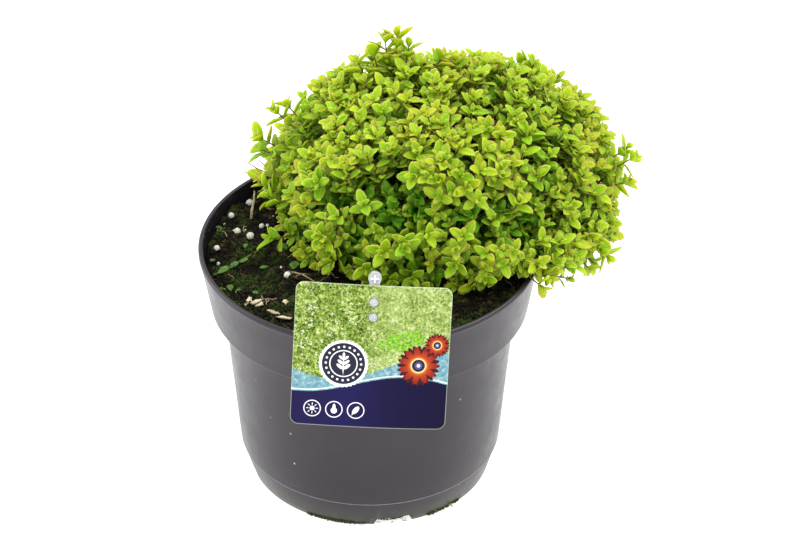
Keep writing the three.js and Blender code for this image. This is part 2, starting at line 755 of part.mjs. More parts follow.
// The shoots of the cushion, spread evenly over it, each drawn a little towards the middle of its cell.
function cushionShoots() {
  const random = randomFrom(SEEDS.shoots);
  return spreadDirections(SHOOT.count, SHOOT.lowest).map((direction) => {
    const stem = stemDirections[nearestStem(direction)];
    const drawn = direction.clone().lerp(stem, SHOOT.cellInset).normalize();
    const inset = THREE.MathUtils.lerp(...SHOOT.insets, random());
    const tip = CROWN.clone().addScaledVector(drawn, domeReach(drawn) - inset);
    tip.z = max(tip.z, lowestClear(tip) + SHOOT.clearance);
    return shootTo(tip, SHOOT.lift, 0);
  });
}

function proudShoots() {
  return PROUD_SHOOTS.map(({ tip, pairsBelow }) => {
    return shootTo(new THREE.Vector3(...tip), SHOOT.proudLift, pairsBelow);
  });
}

// Assembly

function meshOf(name, solid, material) {
  const mesh = new THREE.Mesh(geometryOf(solid), material);
  mesh.name = name;
  return mesh;
}

const finishes = {
  pot: new THREE.MeshStandardMaterial({ color: 0x59555a, roughness: 0.5, metalness: 0 }),
  soil: new THREE.MeshStandardMaterial({ color: 0x2a2118, roughness: 0.95, metalness: 0 }),
  leaf: new THREE.MeshStandardMaterial({ color: 0x9ab82e, roughness: 0.5, metalness: 0 }),
  card: new THREE.MeshStandardMaterial({ color: 0xa9bd72, roughness: 0.35, metalness: 0 }),
  clip: new THREE.MeshStandardMaterial({ color: 0xdfe4e4, roughness: 0.15, metalness: 0 }),
};

const plant = new THREE.Group();
plant.add(meshOf("pot", makePot(), finishes.pot));

const cores = stemDirections.map((_, stem) => coreSolid(stem));
const routes = cores.map((core, stem) => stemRoute(stem, core.centre));
const shoots = [...cushionShoots(), ...proudShoots()];
const random = randomFrom(SEEDS.turns);
cores.forEach((core, stem) => {
  const woody = core.solid.add(stemSolid(routes[stem], STEM.radii, STEM.sides));
  const grown = shoots.filter((shoot) => shoot.stem === stem);
  const whole = grown.reduce((body, shoot) => withShoot(body, shoot, random), woody);
  const name = "thyme_stem_" + String(stem + 1).padStart(2, "0");
  plant.add(meshOf(name, largestBody(whole), finishes.leaf));
});

const label = new THREE.Group();
label.applyMatrix4(labelMatrix());
label.add(meshOf("label_card", makeCard(), finishes.card));
label.add(meshOf("label_clip", makeClip(), finishes.clip));
plant.add(label);

const clipSlot = solidOf(geometryOf(clipLeg(GAP)).applyMatrix4(labelMatrix()));
const soil = joined([soilBody(), ...soilGrains()]);
const soilCutters = [...routes.map(stemHole), clipSlot];
plant.add(meshOf("soil", largestBody(cutAll(soil, soilCutters)), finishes.soil));

export default plant;
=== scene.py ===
"""Golden lemon thyme in a nursery pot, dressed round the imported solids.

Lengths are in millimetres until a mesh is made, and Blender's own unit is the metre. The origin is the
centre of the pot's underside, +Z is up and the label is at the front, towards -Y.
"""

import math
import random
from collections import namedtuple

import bmesh
import bpy
import numpy as np
from mathutils import Matrix, Vector, noise


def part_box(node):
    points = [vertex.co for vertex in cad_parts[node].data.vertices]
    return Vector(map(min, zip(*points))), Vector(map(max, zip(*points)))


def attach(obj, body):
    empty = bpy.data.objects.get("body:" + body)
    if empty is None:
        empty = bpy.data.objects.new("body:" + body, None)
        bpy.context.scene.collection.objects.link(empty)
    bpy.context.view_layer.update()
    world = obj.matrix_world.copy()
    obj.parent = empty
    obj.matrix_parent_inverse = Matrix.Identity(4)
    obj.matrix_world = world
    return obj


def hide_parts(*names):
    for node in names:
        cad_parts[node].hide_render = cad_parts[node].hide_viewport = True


MM = 0.001
TURN = 2 * math.pi
GOLDEN_ANGLE = math.pi * (3 - math.sqrt(5))
UP = np.array([0.0, 0.0, 1.0])
SEEDS = {"soil": 5, "weeds": 23, "foot": 31, "foliage": 17}

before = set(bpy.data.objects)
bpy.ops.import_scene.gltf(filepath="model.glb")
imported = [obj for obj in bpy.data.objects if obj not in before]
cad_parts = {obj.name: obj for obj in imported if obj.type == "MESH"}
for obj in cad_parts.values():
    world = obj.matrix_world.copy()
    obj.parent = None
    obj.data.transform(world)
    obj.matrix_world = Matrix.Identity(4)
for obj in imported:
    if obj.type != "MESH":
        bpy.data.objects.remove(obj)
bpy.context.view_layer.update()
pot_low, pot_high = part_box("pot")
STEM_NODES = sorted(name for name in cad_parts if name.startswith("thyme_stem"))

# Driving dimensions. The pot's reach comes from its solid, and the rest repeats the part's source.

RIM_RADIUS = (pot_high[0] - pot_low[0]) / 2 / MM
POT_HEIGHT = pot_high[2] / MM
WALL = 1.6
GAP = 0.35
# A radius and a height: of the collar's lower edge, the top of the body and the crease over the foot.
COLLAR_LOW = (79.4, 97.3)
BODY_TOP = (72.8, 94.5)
CREASE = (65.6, 15.9)
FOOT_RADIUS = 60.7
PAD_RADIUS = 26.0
FLOOR_UNDERSIDE = 3.4
LIP_WIDTH = 2.6
LIP_HEIGHT = 2.8
LIP_PROUD = 0.6
LIP_BEAD = 1.25
NOTCH_COUNT = 4
NOTCH_FIRST = math.radians(-79)
NOTCH_HEIGHT = 3.5
NOTCH_LOW_WIDTH = 20.0
NOTCH_HIGH_WIDTH = 16.0
DRAIN_COUNT = 8
DRAIN_RADIUS = 4.5
DRAIN_RING = 45.0

SOIL_EDGE_Z = 122.0
SOIL_MOUND = 3.0
SOIL_RELIEF = 0.66
SOIL_SIDE_HEIGHTS = (112.0, 99.5, 95.5, CREASE[1], 7.5)
SOIL_BOTTOM = (56.0, 5.4)
SOIL_REACH = 79.0

CARD_WIDTH = 75.0
CARD_HEIGHT = 72.0
CARD_THICKNESS = 0.6
CARD_CORNER = 4.0
CARD_BOW = 1.5
CARD_CURL = 1.2
CARD_CENTRE = (0.5, 122.8)
CARD_LEAN = math.radians(17)
CARD_ROLL = math.radians(3)
CARD_BACK_GAP = 0.75

CLIP_WIDTH = 5.0
CLIP_THICKNESS = 1.3
CLIP_HEAD_RADIUS = 3.2
CLIP_HEAD_DEPTH = 3.2
CLIP_HEAD_ABOVE = 3.0
CLIP_STUD_RADIUS = 2.1
CLIP_STUD_DEPTH = 2.4
CLIP_STUD_DROPS = (8.5, 16.0)
CLIP_TONGUE_DROP = 21.0
CLIP_LEG_BOTTOM = 99.0
CLIP_GAP = 0.45
CLIP_ROUNDING = 0.4
STRIP_ROUNDING = 0.25
CROSS_BAR = (4.16, 0.7, 0.6)
CROSS_ROUNDING = 0.2

CROWN = np.array([22.0, 20.0, 121.0])
DOME_CENTRE = np.array([36.0, 44.0, 128.0])
DOME_HALF = (86.0, 76.0, 64.0)
DOME_HALF_FRONT = 87.0
DOME_POWER = 2.3
DOME_SWELL = 0.04
STEM_LOWEST = -0.02
STEM_SPREAD = 19.0
STEM_SHARE = 0.6
STEM_CLEARANCE = 9
# Where the cushion swells or sinks: a direction from its centre, how far as a share, and how narrowly.
SHOULDERS = (
    ((0.64, 0.42, 0.64), 0.075, 9), ((0.86, -0.35, -0.37), 0.075, 6), ((-0.14, 0.42, 0.9), 0.045, 12),
    ((0.7, 0.0, 0.71), -0.03, 20), ((0.24, 0.3, 0.92), -0.022, 30),
)
# Where the cushion has a hollow: a direction from its centre, how strong it is and how narrow.
HOLLOWS = (
    ((-0.4, -0.78, 0.48), 0.9, 40), ((-0.08, -0.83, 0.55), 1.0, 50), ((0.24, -0.8, 0.52), 0.8, 40),
    ((0.5, -0.7, 0.5), 0.7, 60), ((-0.62, -0.62, 0.45), 0.6, 60),
)
HOLLOW_DEPTH = 0.06
RIM_CLEARANCE = 2
HANG_SLOPE = 2.2
CLIMB_FROM = 0.68
CLIMB_SHARE = 0.2
SHOOT_COUNT = 1340
SHOOT_LOWEST = -0.16
SHOOT_JITTER = 0.035
# The tips of shoots that stand out of the cushion, and of those that hang over the pot's rim at its right.
PROUD_TIPS = (
    (14, 78, 202), (8, 77, 201), (20, 76, 197), (2, 74, 195), (-6, 74, 190), (12, 74, 193),
    (-47, 54, 173), (-41, 56, 175), (-54, 47, 154), (-55, 52, 158), (-54, 40, 142), (-49, -3, 134),
    (-53, 35, 141), (-50, 27, 139), (-18, 86, 168), (37, 76, 191), (44, 76, 189), (82, 94, 176),
    (78, 96, 173), (118, 48, 160), (129, 42, 158), (132, 36, 156), (129, 31, 145), (118, 20, 138),
    (112, 22, 131), (108, 12, 130), (14, 73, 186), (23, 76, 185), (38, 80, 178), (60, 88, 175),
    (-9, 70, 174), (2, 72, 184),
)
HANGING_TIPS = (
    (88, -31, 128), (84, -37, 128), (81, -29, 131), (108, -2, 130), (119, 8, 128), (118, -3, 123),
    (88, -8, 134), (93, -2, 132), (87, 4, 138), (90, -18, 131), (94, 8, 134), (86, -22, 135),
    (97, -8, 128), (84, -2, 142),
)


# Meshes

def unit(vector):
    return np.divide(vector, np.linalg.norm(vector))


def linked(name, mesh, material, smooth=True):
    """An object that shows a mesh."""
    mesh.polygons.foreach_set("use_smooth", np.full(len(mesh.polygons), smooth))
    mesh.materials.append(material)
    made = bpy.data.objects.new(name, mesh)
    bpy.context.scene.collection.objects.link(made)
    return made


def mesh_object(name, points, faces, material, smooth=True):
    """An object from an array of points in millimetres and one of triangles."""
    points, faces = np.asarray(points, float), np.asarray(faces, np.int32)
    mesh = bpy.data.meshes.new(name)
    mesh.vertices.add(len(points))
    mesh.vertices.foreach_set("co", (points * MM).astype(np.float32).ravel())
    mesh.loops.add(faces.size)
    mesh.loops.foreach_set("vertex_index", faces.ravel())
    mesh.polygons.add(len(faces))
    mesh.polygons.foreach_set("loop_start", np.arange(0, faces.size, 3, dtype=np.int32))
    mesh.update(calc_edges=True)
    mesh.validate()
    return linked(name, mesh, material, smooth)


def bmesh_object(name, shape, material):
    """An object from a bmesh that is in millimetres."""
    bmesh.ops.scale(shape, vec=(MM, MM, MM), verts=shape.verts)
    mesh = bpy.data.meshes.new(name)
    shape.to_mesh(mesh)
    shape.free()
    return linked(name, mesh, material)


def place(made, slot, *replaced):
    """Puts a piece on the frame and hides the solids that it stands for. Its slot is not used."""
    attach(made, "root")
    if replaced:
        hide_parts(*replaced)


def grid_faces(rows, columns, wrap=False):
    """The triangles of a grid of points in rows, whose last column joins the first if it wraps."""
    corners = np.arange(rows * columns).reshape(rows, columns)
    beside = np.roll(corners, -1, axis=1)
    if not wrap:
        corners, beside = corners[:, :-1], beside[:, :-1]
    a, b, c, d = (part.ravel() for part in (corners[:-1], beside[:-1], beside[1:], corners[1:]))
    return np.concatenate([np.column_stack([a, b, c]), np.column_stack([a, c, d])])


def capped_faces(count, columns):
    """The triangles of a first point, rings of points and a last point, which close the shape."""
    near = np.arange(columns)
    beside = np.roll(near, -1)
    last = count - 1
    return np.concatenate([
        grid_faces((last - 1) // columns, columns, wrap=True) + 1,
        np.column_stack([0 * near, 1 + beside, 1 + near]),
        np.column_stack([0 * near, near - columns, beside - columns]) + last,
    ])


def copies(template, faces, matrices):
    """A template's points and faces, once for each of a list of 3 by 4 matrices."""
    matrices = np.array(matrices)
    points = np.einsum("nij,vj->nvi", matrices[:, :, :3], template) + matrices[:, None, :, 3]
    shifted = faces[None] + (np.arange(len(matrices)) * len(template))[:, None, None]
    return points.reshape(-1, 3), shifted.reshape(-1, 3)


def merged(parts):
    """Several pairs of points and faces as one pair."""
    starts = np.cumsum([0] + [len(points) for points, _ in parts])
    faces = [some_faces + start for (_, some_faces), start in zip(parts, starts)]
    return np.concatenate([points for points, _ in parts]), np.concatenate(faces)


# Any direction that no tube runs along.
TUBE_SIDE = (0.31, 0.87, 0.38)


def tube(path, radii, sides=6):
    """The points and faces of a closed round tube along a path."""
    path = np.asarray(path, float)
    along = np.gradient(path, axis=0)
    along /= np.linalg.norm(along, axis=1, keepdims=True)
    side = np.cross(along, TUBE_SIDE)
    side /= np.linalg.norm(side, axis=1, keepdims=True)
    turns = (TURN * np.arange(sides) / sides)[None, :, None]
    ring = np.cos(turns) * side[:, None] + np.sin(turns) * np.cross(along, side)[:, None]
    points = path[:, None] + np.reshape(radii, (-1, 1, 1)) * ring
    near = np.arange(1, sides - 1)
    first_end = np.column_stack([0 * near, near + 1, near])
    last_end = first_end[:, ::-1] + (len(path) - 1) * sides
    faces = np.concatenate([grid_faces(len(path), sides, wrap=True), first_end, last_end])
    return points.reshape(-1, 3), faces


def placed(centre, size, *turns):
    """A 3 by 4 array that sizes a shape along each axis, turns it about named axes, and moves it."""
    matrix = Matrix.Identity(3)
    for angle, axis in turns:
        matrix = matrix @ Matrix.Rotation(angle, 3, axis)
    return np.hstack([np.array(matrix) @ np.diag(size), np.reshape(centre, (3, 1))])


def prism(outline, depth):
    """A solid between two copies of an outline of x and z, along y."""
    shape = bmesh.new()
    low, high = ([shape.verts.new((x, y, z)) for x, z in outline] for y in (-depth / 2, depth / 2))
    shape.faces.new(low)
    shape.faces.new(high[::-1])
    for i, corner in enumerate(low):
        beside = (i + 1) % len(low)
        shape.faces.new((corner, high[i], high[beside], low[beside]))
    bmesh.ops.recalc_face_normals(shape, faces=shape.faces)
    return shape


def cylinders(matrices, radius, depth, sides=32):
    """A cylinder at each of several matrices."""
    shape = bmesh.new()
    for matrix in matrices:
        bmesh.ops.create_cone(shape, cap_ends=True, segments=sides, radius1=radius, radius2=radius,
                              depth=depth, matrix=matrix)
    return shape


def cut(made, shape, operation="DIFFERENCE"):
    """Cuts or trims an object by a bmesh."""
    cutter = bmesh_object("cutter", shape, made.active_material)
    modifier = made.modifiers.new("cut", "BOOLEAN")
    modifier.operation = operation
    modifier.solver = "EXACT"
    modifier.object = cutter
    evaluated = made.evaluated_get(bpy.context.evaluated_depsgraph_get())
    mesh = bpy.data.meshes.new_from_object(evaluated)
    made.modifiers.clear()
    made.data = mesh
    bpy.data.objects.remove(cutter)


# Materials. Colours are screen values from 0 to 255.

def linear(colour):
    """A colour in Blender's linear form."""
    shares = [value / 255 for value in colour]
    return (*(s / 12.92 if s <= 0.04045 else ((s + 0.055) / 1.055) ** 2.4 for s in shares), 1.0)


class Value:
    """What a node of a material works out, with sums and ramps that add nodes for it."""

    def __init__(self, shader, socket):
        self.shader, self.socket = shader, socket

    def __add__(self, other):
        return self.shader.math("ADD", self, other)

    def __sub__(self, other):
        return self.shader.math("SUBTRACT", self, other)

    def __mul__(self, other):
        return self.shader.math("MULTIPLY", self, other)

    def __abs__(self):
        return self.shader.math("ABSOLUTE", self)

    def span(self, low, high, to_low=0.0, to_high=1.0):
        """The value carried smoothly from one range to another and held at its ends."""
        inputs = {"Value": self, "From Min": low, "From Max": high, "To Min": to_low, "To Max": to_high}
        return self.shader.node("MapRange", inputs, interpolation_type="SMOOTHSTEP")

    def below(self, edge, soft=0.12):
        """1 where the value is below an edge and 0 above it."""
        return self.span(edge + soft, edge - soft)

    def steps(self, stops):
        """A ramp through colours at places from 0 to 1."""
        made = self.shader.add("ValToRGB", {"Fac": self})
        ramp = made.color_ramp.elements
        while len(ramp) < len(stops):
            ramp.new(0.5)
        for element, (position, colour) in zip(ramp, stops.items()):
            element.position = position
            element.color = linear(colour)
        return Value(self.shader, made.outputs["Color"])


class Shader:
    """A material with one Principled surface, and short calls that add nodes to it."""

    def __init__(self, name, **surface):
        self.material = bpy.data.materials.new(name)
        self.material.use_nodes = True
        self.tree = self.material.node_tree
        self.surface = next(node for node in self.tree.nodes if node.type == "BSDF_PRINCIPLED")
        for socket, value in surface.items():
            self.set(socket.replace("_", " ").title().replace("Ior", "IOR"), value)

    def set(self, socket, value):
        self.put(self.surface.inputs[socket], value)

    def put(self, target, value):
        if isinstance(value, Value):
            self.tree.links.new(value.socket, target)
        elif value is not None:
            target.default_value = value

    def add(self, kind, inputs=(), **properties):
        """A node with its properties, and its inputs by name or place."""
        made = self.tree.nodes.new("ShaderNode" + kind)
        for name, value in properties.items():
            setattr(made, name, value)
        for name, value in dict(inputs).items():
            self.put(made.inputs[name], value)
        return made

    def node(self, kind, inputs=(), output=0, **properties):
        """The output of a new node."""
        return Value(self, self.add(kind, inputs, **properties).outputs[output])

    def split(self, value, kind="XYZ"):
        """The three parts of a place or a colour."""
        return [Value(self, output) for output in self.add("Separate" + kind, {0: value}).outputs]

    def math(self, operation, *values):
        return self.node("Math", dict(enumerate(values)), operation=operation)

    def vector(self, operation, *values, output=0):
        return self.node("VectorMath", dict(enumerate(values)), output, operation=operation)

    def texture_place(self):
        return self.node("TexCoord", output="Object")

    def noise(self, size, detail=3.0, roughness=0.55, distortion=0.0):
        """Noise from 0 to 1 whose blobs are about the given size."""
        return self.node("TexNoise", {
            "Vector": self.texture_place(), "Scale": 1 / (size * MM), "Detail": detail,
            "Roughness": roughness, "Distortion": distortion,
        })

    def specks(self, size):
        """The distance from the nearest of scattered points, which are about the given size apart."""
        return self.node("TexVoronoi", {"Vector": self.texture_place(), "Scale": 1 / (size * MM)}, "Distance")

    def mix(self, share, low, high):
        """From the low colour where the share is 0 to the high one where it is 1."""
        made = self.add("Mix", data_type="RGBA")
        for socket, value in zip((0, 6, 7), (share, low, high)):
            self.put(made.inputs[socket], linear(value) if isinstance(value, tuple) else value)
        return Value(self, made.outputs[2])

    def bump(self, *layers):
        """Bumps laid over each other, each a height, a depth and a strength."""
        normal = None
        for height, depth, strength in layers:
            inputs = {"Height": height, "Distance": depth * MM, "Strength": strength, "Normal": normal}
            normal = self.node("Bump", inputs)
        self.set("Normal", normal)


def pot_material():
    shader = Shader("pot_plastic", specular_ior_level=0.45)
    height = shader.split(shader.texture_place())[2]
    colour = shader.noise(38, detail=4).steps({0.3: (25, 17, 26), 0.7: (33, 25, 34)})
    dust = shader.specks(9).span(0.075, 0.045) * shader.noise(17).span(0.5, 0.62)
    colour = shader.mix(dust, colour, (168, 164, 158))
    dirt = height.span(14 * MM, 1 * MM) * shader.noise(5, detail=5)
    colour = shader.mix(dirt * 0.7, colour, (74, 76, 52))
    # A painted highlight: a thin pale line along the crease over the foot and along the collar's lower edge,
    # where light catches these ledges, broken up by noise.
    for edge, half, strength in ((CREASE[1], 0.42, 0.55), (COLLAR_LOW[1] - 0.8, 0.5, 0.22)):
        ledge_highlight = abs(height - edge * MM).span(half * MM, 0.1 * MM) * shader.noise(4, detail=5)
        colour = shader.mix(ledge_highlight * strength, colour, (206, 196, 200))
    shader.set("Base Color", colour)
    shader.set("Roughness", shader.noise(9, detail=6, roughness=0.7).span(0.3, 0.75, 0.26, 0.38))
    shader.bump((shader.noise(0.7, detail=2), 0.012, 0.4))
    return shader.material


def soil_material():
    shader = Shader("potting_soil", roughness=0.95, specular_ior_level=0.1)
    grain = shader.noise(1.6, detail=6, roughness=0.7)
    earth = grain.steps({0.35: (2, 2, 1), 0.55: (14, 12, 6), 0.8: (54, 47, 28)})
    green = grain.steps({0.35: (8, 13, 2), 0.8: (66, 84, 30)})
    shader.set("Base Color", shader.mix(shader.noise(15, detail=4).span(0.46, 0.6), earth, green))
    shader.bump((grain, 0.9, 0.9))
    return shader.material


def grain_material(name, dark, light, size=1.2, roughness=0.85):
    """A rough mineral or woody finish between two colours."""
    shader = Shader(name, roughness=roughness, specular_ior_level=0.12)
    grain = shader.noise(size, detail=5, roughness=0.65)
    shader.set("Base Color", grain.steps({0.3: dark, 0.72: light}))
    shader.bump((grain, 0.3, 0.8))
    return shader.material


def leaf_material():
    """A leaf's finish: green along its middle and yellow at its edge, with its tone and with painted shade by
    its place in the cushion.
    """
    shader = Shader("thyme_leaf", roughness=0.6, specular_ior_level=0.18, subsurface_weight=0.45,
                    subsurface_scale=2 * MM, subsurface_radius=(1.0, 1.0, 0.25))
    across, along, _ = shader.split(shader.node("UVMap", uv_map="leaf"))
    tone, depth, warmth = shader.split(shader.node("Attribute", attribute_name="tone"), "Color")
    from_rib = abs(across - 0.5)
    blotch = shader.noise(1.7, detail=3)
    sides = (from_rib + blotch * 0.08).span(0.41, 0.5)
    rim = shader.math("MAXIMUM", sides, (along + blotch * 0.12).span(0.9, 1.08))
    blush = warmth.span(0.4, 0.95, 0.0, 0.85)
    side = from_rib.span(0.06, 0.46) * along.span(0.3, 0.9)
    golden = shader.mix(blush, shader.mix(tone, (194, 206, 50), (212, 210, 80)), (212, 158, 66))
    bright = shader.mix(tone, (118, 172, 6), (164, 190, 18))
    bright = shader.mix(side * blush, bright, (206, 142, 32))
    bright = shader.mix(rim, bright, golden)
    bright = shader.mix(from_rib.span(0.06, 0.015) * 0.5, bright, (196, 220, 80))
    # Painted shade: the second channel of the tone attribute mixes from this darker green to the lit colours.
    # It is low for leaves deep in the cushion, in its hollows and far down a shoot, where it also stands for
    # the older leaves' own greener colour.
    painted_shade = shader.mix(tone, (8, 90, 0), (50, 146, 4))
    shader.set("Base Color", shader.mix(depth, painted_shade, bright))
    slant = shader.node("CombineXYZ", {"X": along + from_rib * -0.55})
    veins = shader.node("TexWave", {"Vector": slant, "Scale": 2.6, "Distortion": 0.4})
    shader.bump((veins, 0.2, 0.5), (shader.noise(0.5, detail=2), 0.06, 0.4))
    return shader.material


def twig_material():
    shader = Shader("thyme_twig", roughness=0.7, specular_ior_level=0.3)
    bark = shader.noise(3, detail=5).steps({0.3: (78, 46, 24), 0.5: (88, 76, 24), 0.75: (74, 102, 20)})
    shader.set("Base Color", bark)
    shader.bump((shader.noise(0.6, detail=3), 0.12, 0.6))
    return shader.material


def clear_material():
    shader = Shader("clear_plastic", roughness=0.22, ior=1.46, transmission_weight=0.66)
    shader.set("Base Color", shader.noise(3).steps({0.3: (228, 232, 234), 0.7: (246, 248, 248)}))
    shader.bump((shader.noise(6, detail=1), 0.06, 0.3))
    return shader.material


def frosted_material():
    shader = Shader("frosted_plastic", roughness=0.5, transmission_weight=0.1)
    shader.set("Base Color", shader.noise(1).steps({0.3: (232, 235, 236), 0.7: (250, 250, 250)}))
    return shader.material


def floor_material():
    """A white ground that is lit from within, so that hardly a shadow falls on it."""
    shader = Shader("floor", roughness=0.9, specular_ior_level=0.1, emission_strength=0.8,
                    emission_color=(1.0, 1.0, 1.0, 1.0))
    shader.set("Base Color", shader.noise(400).steps({0.3: (184, 184, 184), 0.7: (188, 188, 188)}))
    return shader.material


# The label's printed design

WHITE = (240, 241, 238)
# The centre and radius of each bloom, and the centres of the badge and of the care signs.
BLOOMS = (((23.0, -3.5), 9.5), ((31.5, 7.0), 5.6))
BADGE = (-13.0, -4.0)
SIGNS = ((-27.0, -27.5), (-16.5, -27.5), (-6.0, -27.5))


class Print(Shader):
    """The card's finish. Places on the card are in millimetres from its centre, across and up."""

    def __init__(self, name):
        super().__init__(name, roughness=0.36, specular_ior_level=0.12)
        self.place = self.node("Mapping", {
            "Vector": self.node("UVMap", uv_map="card"), "Location": (-CARD_WIDTH / 2, -CARD_HEIGHT / 2, 0),
            "Scale": (CARD_WIDTH, CARD_HEIGHT, 1),
        })
        self.across, self.up, _ = self.split(self.place)

    def texture_place(self):
        return self.vector("MULTIPLY", self.place, (MM, MM, MM))

    def seen_from(self, centre, half=(1, 1), turn=0.0):
        """The place measured from a centre, turned, and with each axis as a share of a half size."""
        return self.node("Mapping", {
            "Vector": self.place, "Location": (*centre, 0), "Rotation": (0, 0, turn), "Scale": (*half, 1),
        }, vector_type="TEXTURE")

    def length(self, place):
        return self.vector("LENGTH", place, output="Value")

    def ellipse(self, centre, half, turn=0.0):
        return self.length(self.seen_from(centre, half, turn)).below(1.0, 0.1 / min(half))

    def disc(self, centre, radius):
        return self.ellipse(centre, (radius, radius))

    def bar(self, centre, length, width, turn):
        return self.ellipse(centre, (length / 2, width / 2), turn)

    def polar(self, centre):
        """The distance from a centre and the angle round it."""
        seen = self.seen_from(centre)
        x, y, _ = self.split(seen)
        return self.length(seen), self.math("ARCTAN2", y, x)

    def petals(self, centre, radius, count, depth):
        """A round bloom whose edge runs in and out with its petals."""
        distance, angle = self.polar(centre)
        wave = abs(self.math("COSINE", angle * (count / 2)))
        return (distance - (wave * depth + (radius - depth))).below(0)

    def any_of(self, masks):
        joined = masks[0]
        for mask in masks[1:]:
            joined = self.math("MAXIMUM", joined, mask)
        return joined


def round_about(centre, radius, count):
    """Places spaced evenly on a circle, each with its turn."""
    x, y = centre
    turns = [TURN * i / count for i in range(count)]
    return [((x + radius * math.cos(turn), y + radius * math.sin(turn)), turn) for turn in turns]


def meadow(card):
    """A meadow: mottled greens, paler to the right, with small white and lilac flecks."""
    broad = card.noise(8, detail=3)
    leaf = card.noise(1.5, detail=4, roughness=0.75, distortion=0.8) * 0.76 + broad * 0.24
    dark = leaf.steps({0.4: (34, 54, 12), 0.47: (88, 114, 34), 0.54: (136, 160, 60), 0.61: (198, 208, 142)})
    pale = leaf.steps({0.4: (82, 108, 42), 0.47: (128, 150, 68), 0.54: (156, 174, 96), 0.61: (196, 206, 152)})
    green = card.mix((card.across + broad * 16.0).span(0.0, 14.0), dark, pale)
    flecks = card.specks(1.5625).span(0.36, 0.16) * card.noise(7, detail=2).span(0.48, 0.62)
    flecks = flecks * card.across.span(14.0, -6.0, 0.15, 0.9)
    tint = card.mix(card.noise(5).span(0.45, 0.6), (246, 244, 240), (216, 190, 214))
    return card.mix(flecks, green, tint)


def label_design():
    """The card's face: a meadow, a hill and a dark foot, with a badge, two blooms and three care signs."""
    card = Print("label_card")
    colour = meadow(card)
    ragged = card.length(card.seen_from((15, 8.5), (13, 5.5), 0.15))
    ragged = ragged + card.noise(4, detail=4, roughness=0.7) * 1.6
    lime = card.noise(1.2, detail=5).steps({0.35: (62, 124, 14), 0.65: (150, 204, 56)})
    colour = card.mix(ragged.span(1.75, 1.5) * card.noise(2.6).span(0.36, 0.5), colour, lime)
    hill = card.up - card.math("COSINE", (card.across - 36.0) * 0.058) * 7.5
    aqua = card.noise(2.2, detail=5, roughness=0.7)
    aqua = aqua.steps({0.35: (72, 116, 132), 0.55: (122, 164, 172), 0.7: (178, 206, 204)})
    colour = card.mix(hill.below(-4.5), colour, aqua)
    foot = card.up - card.math("SINE", (card.across + 8.0) * 0.062) * 4.6
    deep = card.across.span(-38.0, 38.0)
    deep = deep.steps({0.0: (20, 12, 62), 0.3: (18, 13, 70), 0.65: (10, 3, 52), 1.0: (6, 0, 42)})
    colour = card.mix(foot.below(-14.5), colour, deep)
    colour = card.mix(abs(foot + 13.6).below(0.28) * 0.85, colour, WHITE)
    for centre, radius in BLOOMS:
        colour = bloom(card, colour, centre, radius)
    colour = badge(card, colour)
    colour = care_signs(card, colour)
    card.set("Base Color", card.mix(border(card) * 0.35, colour, (214, 224, 206)))
    card.bump((card.noise(14, detail=1), 0.12, 0.25))
    return card.material


def border(card):
    """The thin bare edge that the print leaves round the card."""
    corner = (CARD_WIDTH / 2 - CARD_CORNER, CARD_HEIGHT / 2 - CARD_CORNER, 0)
    beyond = card.vector("SUBTRACT", card.vector("ABSOLUTE", card.place), corner)
    distance = card.length(card.vector("MAXIMUM", beyond, (0, 0, 0)))
    return distance.span(CARD_CORNER - 0.42, CARD_CORNER - 0.22)


def bloom(card, colour, centre, radius):
    """A red-orange daisy: two rings of streaked petals about a pale-edged dark eye."""
    distance, angle = card.polar(centre)
    petal = distance.span(0.0, radius).steps({0.3: (222, 150, 52), 0.55: (196, 70, 32), 1.0: (150, 32, 22)})
    shaded = card.mix(abs(card.math("SINE", angle * 27.0)) * 0.5, petal, (92, 24, 18))
    colour = card.mix(card.petals(centre, radius * 1.08, 24, radius * 0.2), colour, (64, 18, 20))
    colour = card.mix(card.petals(centre, radius, 11, radius * 0.42), colour, shaded)
    eye = {0.4: (226, 206, 128), 0.33: (34, 28, 62), 0.2: (88, 74, 128), 0.09: (226, 220, 214)}
    for share, tint in eye.items():
        colour = card.mix(card.disc(centre, radius * share), colour, tint)
    return colour


def badge(card, colour):
    """A round dark badge with a scalloped white edge, a ring of dots and a leafy sprig."""
    x, y = BADGE
    colour = card.mix(card.petals(BADGE, 12.0, 36, 0.5), colour, WHITE)
    colour = card.mix(card.disc(BADGE, 10.4), colour, (34, 34, 52))
    marks = [card.disc(at, 0.55) for at, _ in round_about(BADGE, 8.5, 20)]
    marks.append(card.disc(BADGE, 6.8) - card.disc(BADGE, 6.3))
    marks.append(card.bar((x, y - 0.3), 9.6, 0.62, TURN / 4))
    for i in range(3):
        half = (1.95 - 0.28 * i, 0.8 - 0.08 * i)
        for side in (-1, 1):
            at = (x + side * half[0] * 0.86, y - 2.6 + 2.4 * i + half[0] * 0.55)
            marks.append(card.ellipse(at, half, math.radians(90 - side * 52)))
    marks.append(card.ellipse((x, y + 4.4), (1.2, 0.6), TURN / 4))
    return card.mix(card.any_of(marks), colour, WHITE)


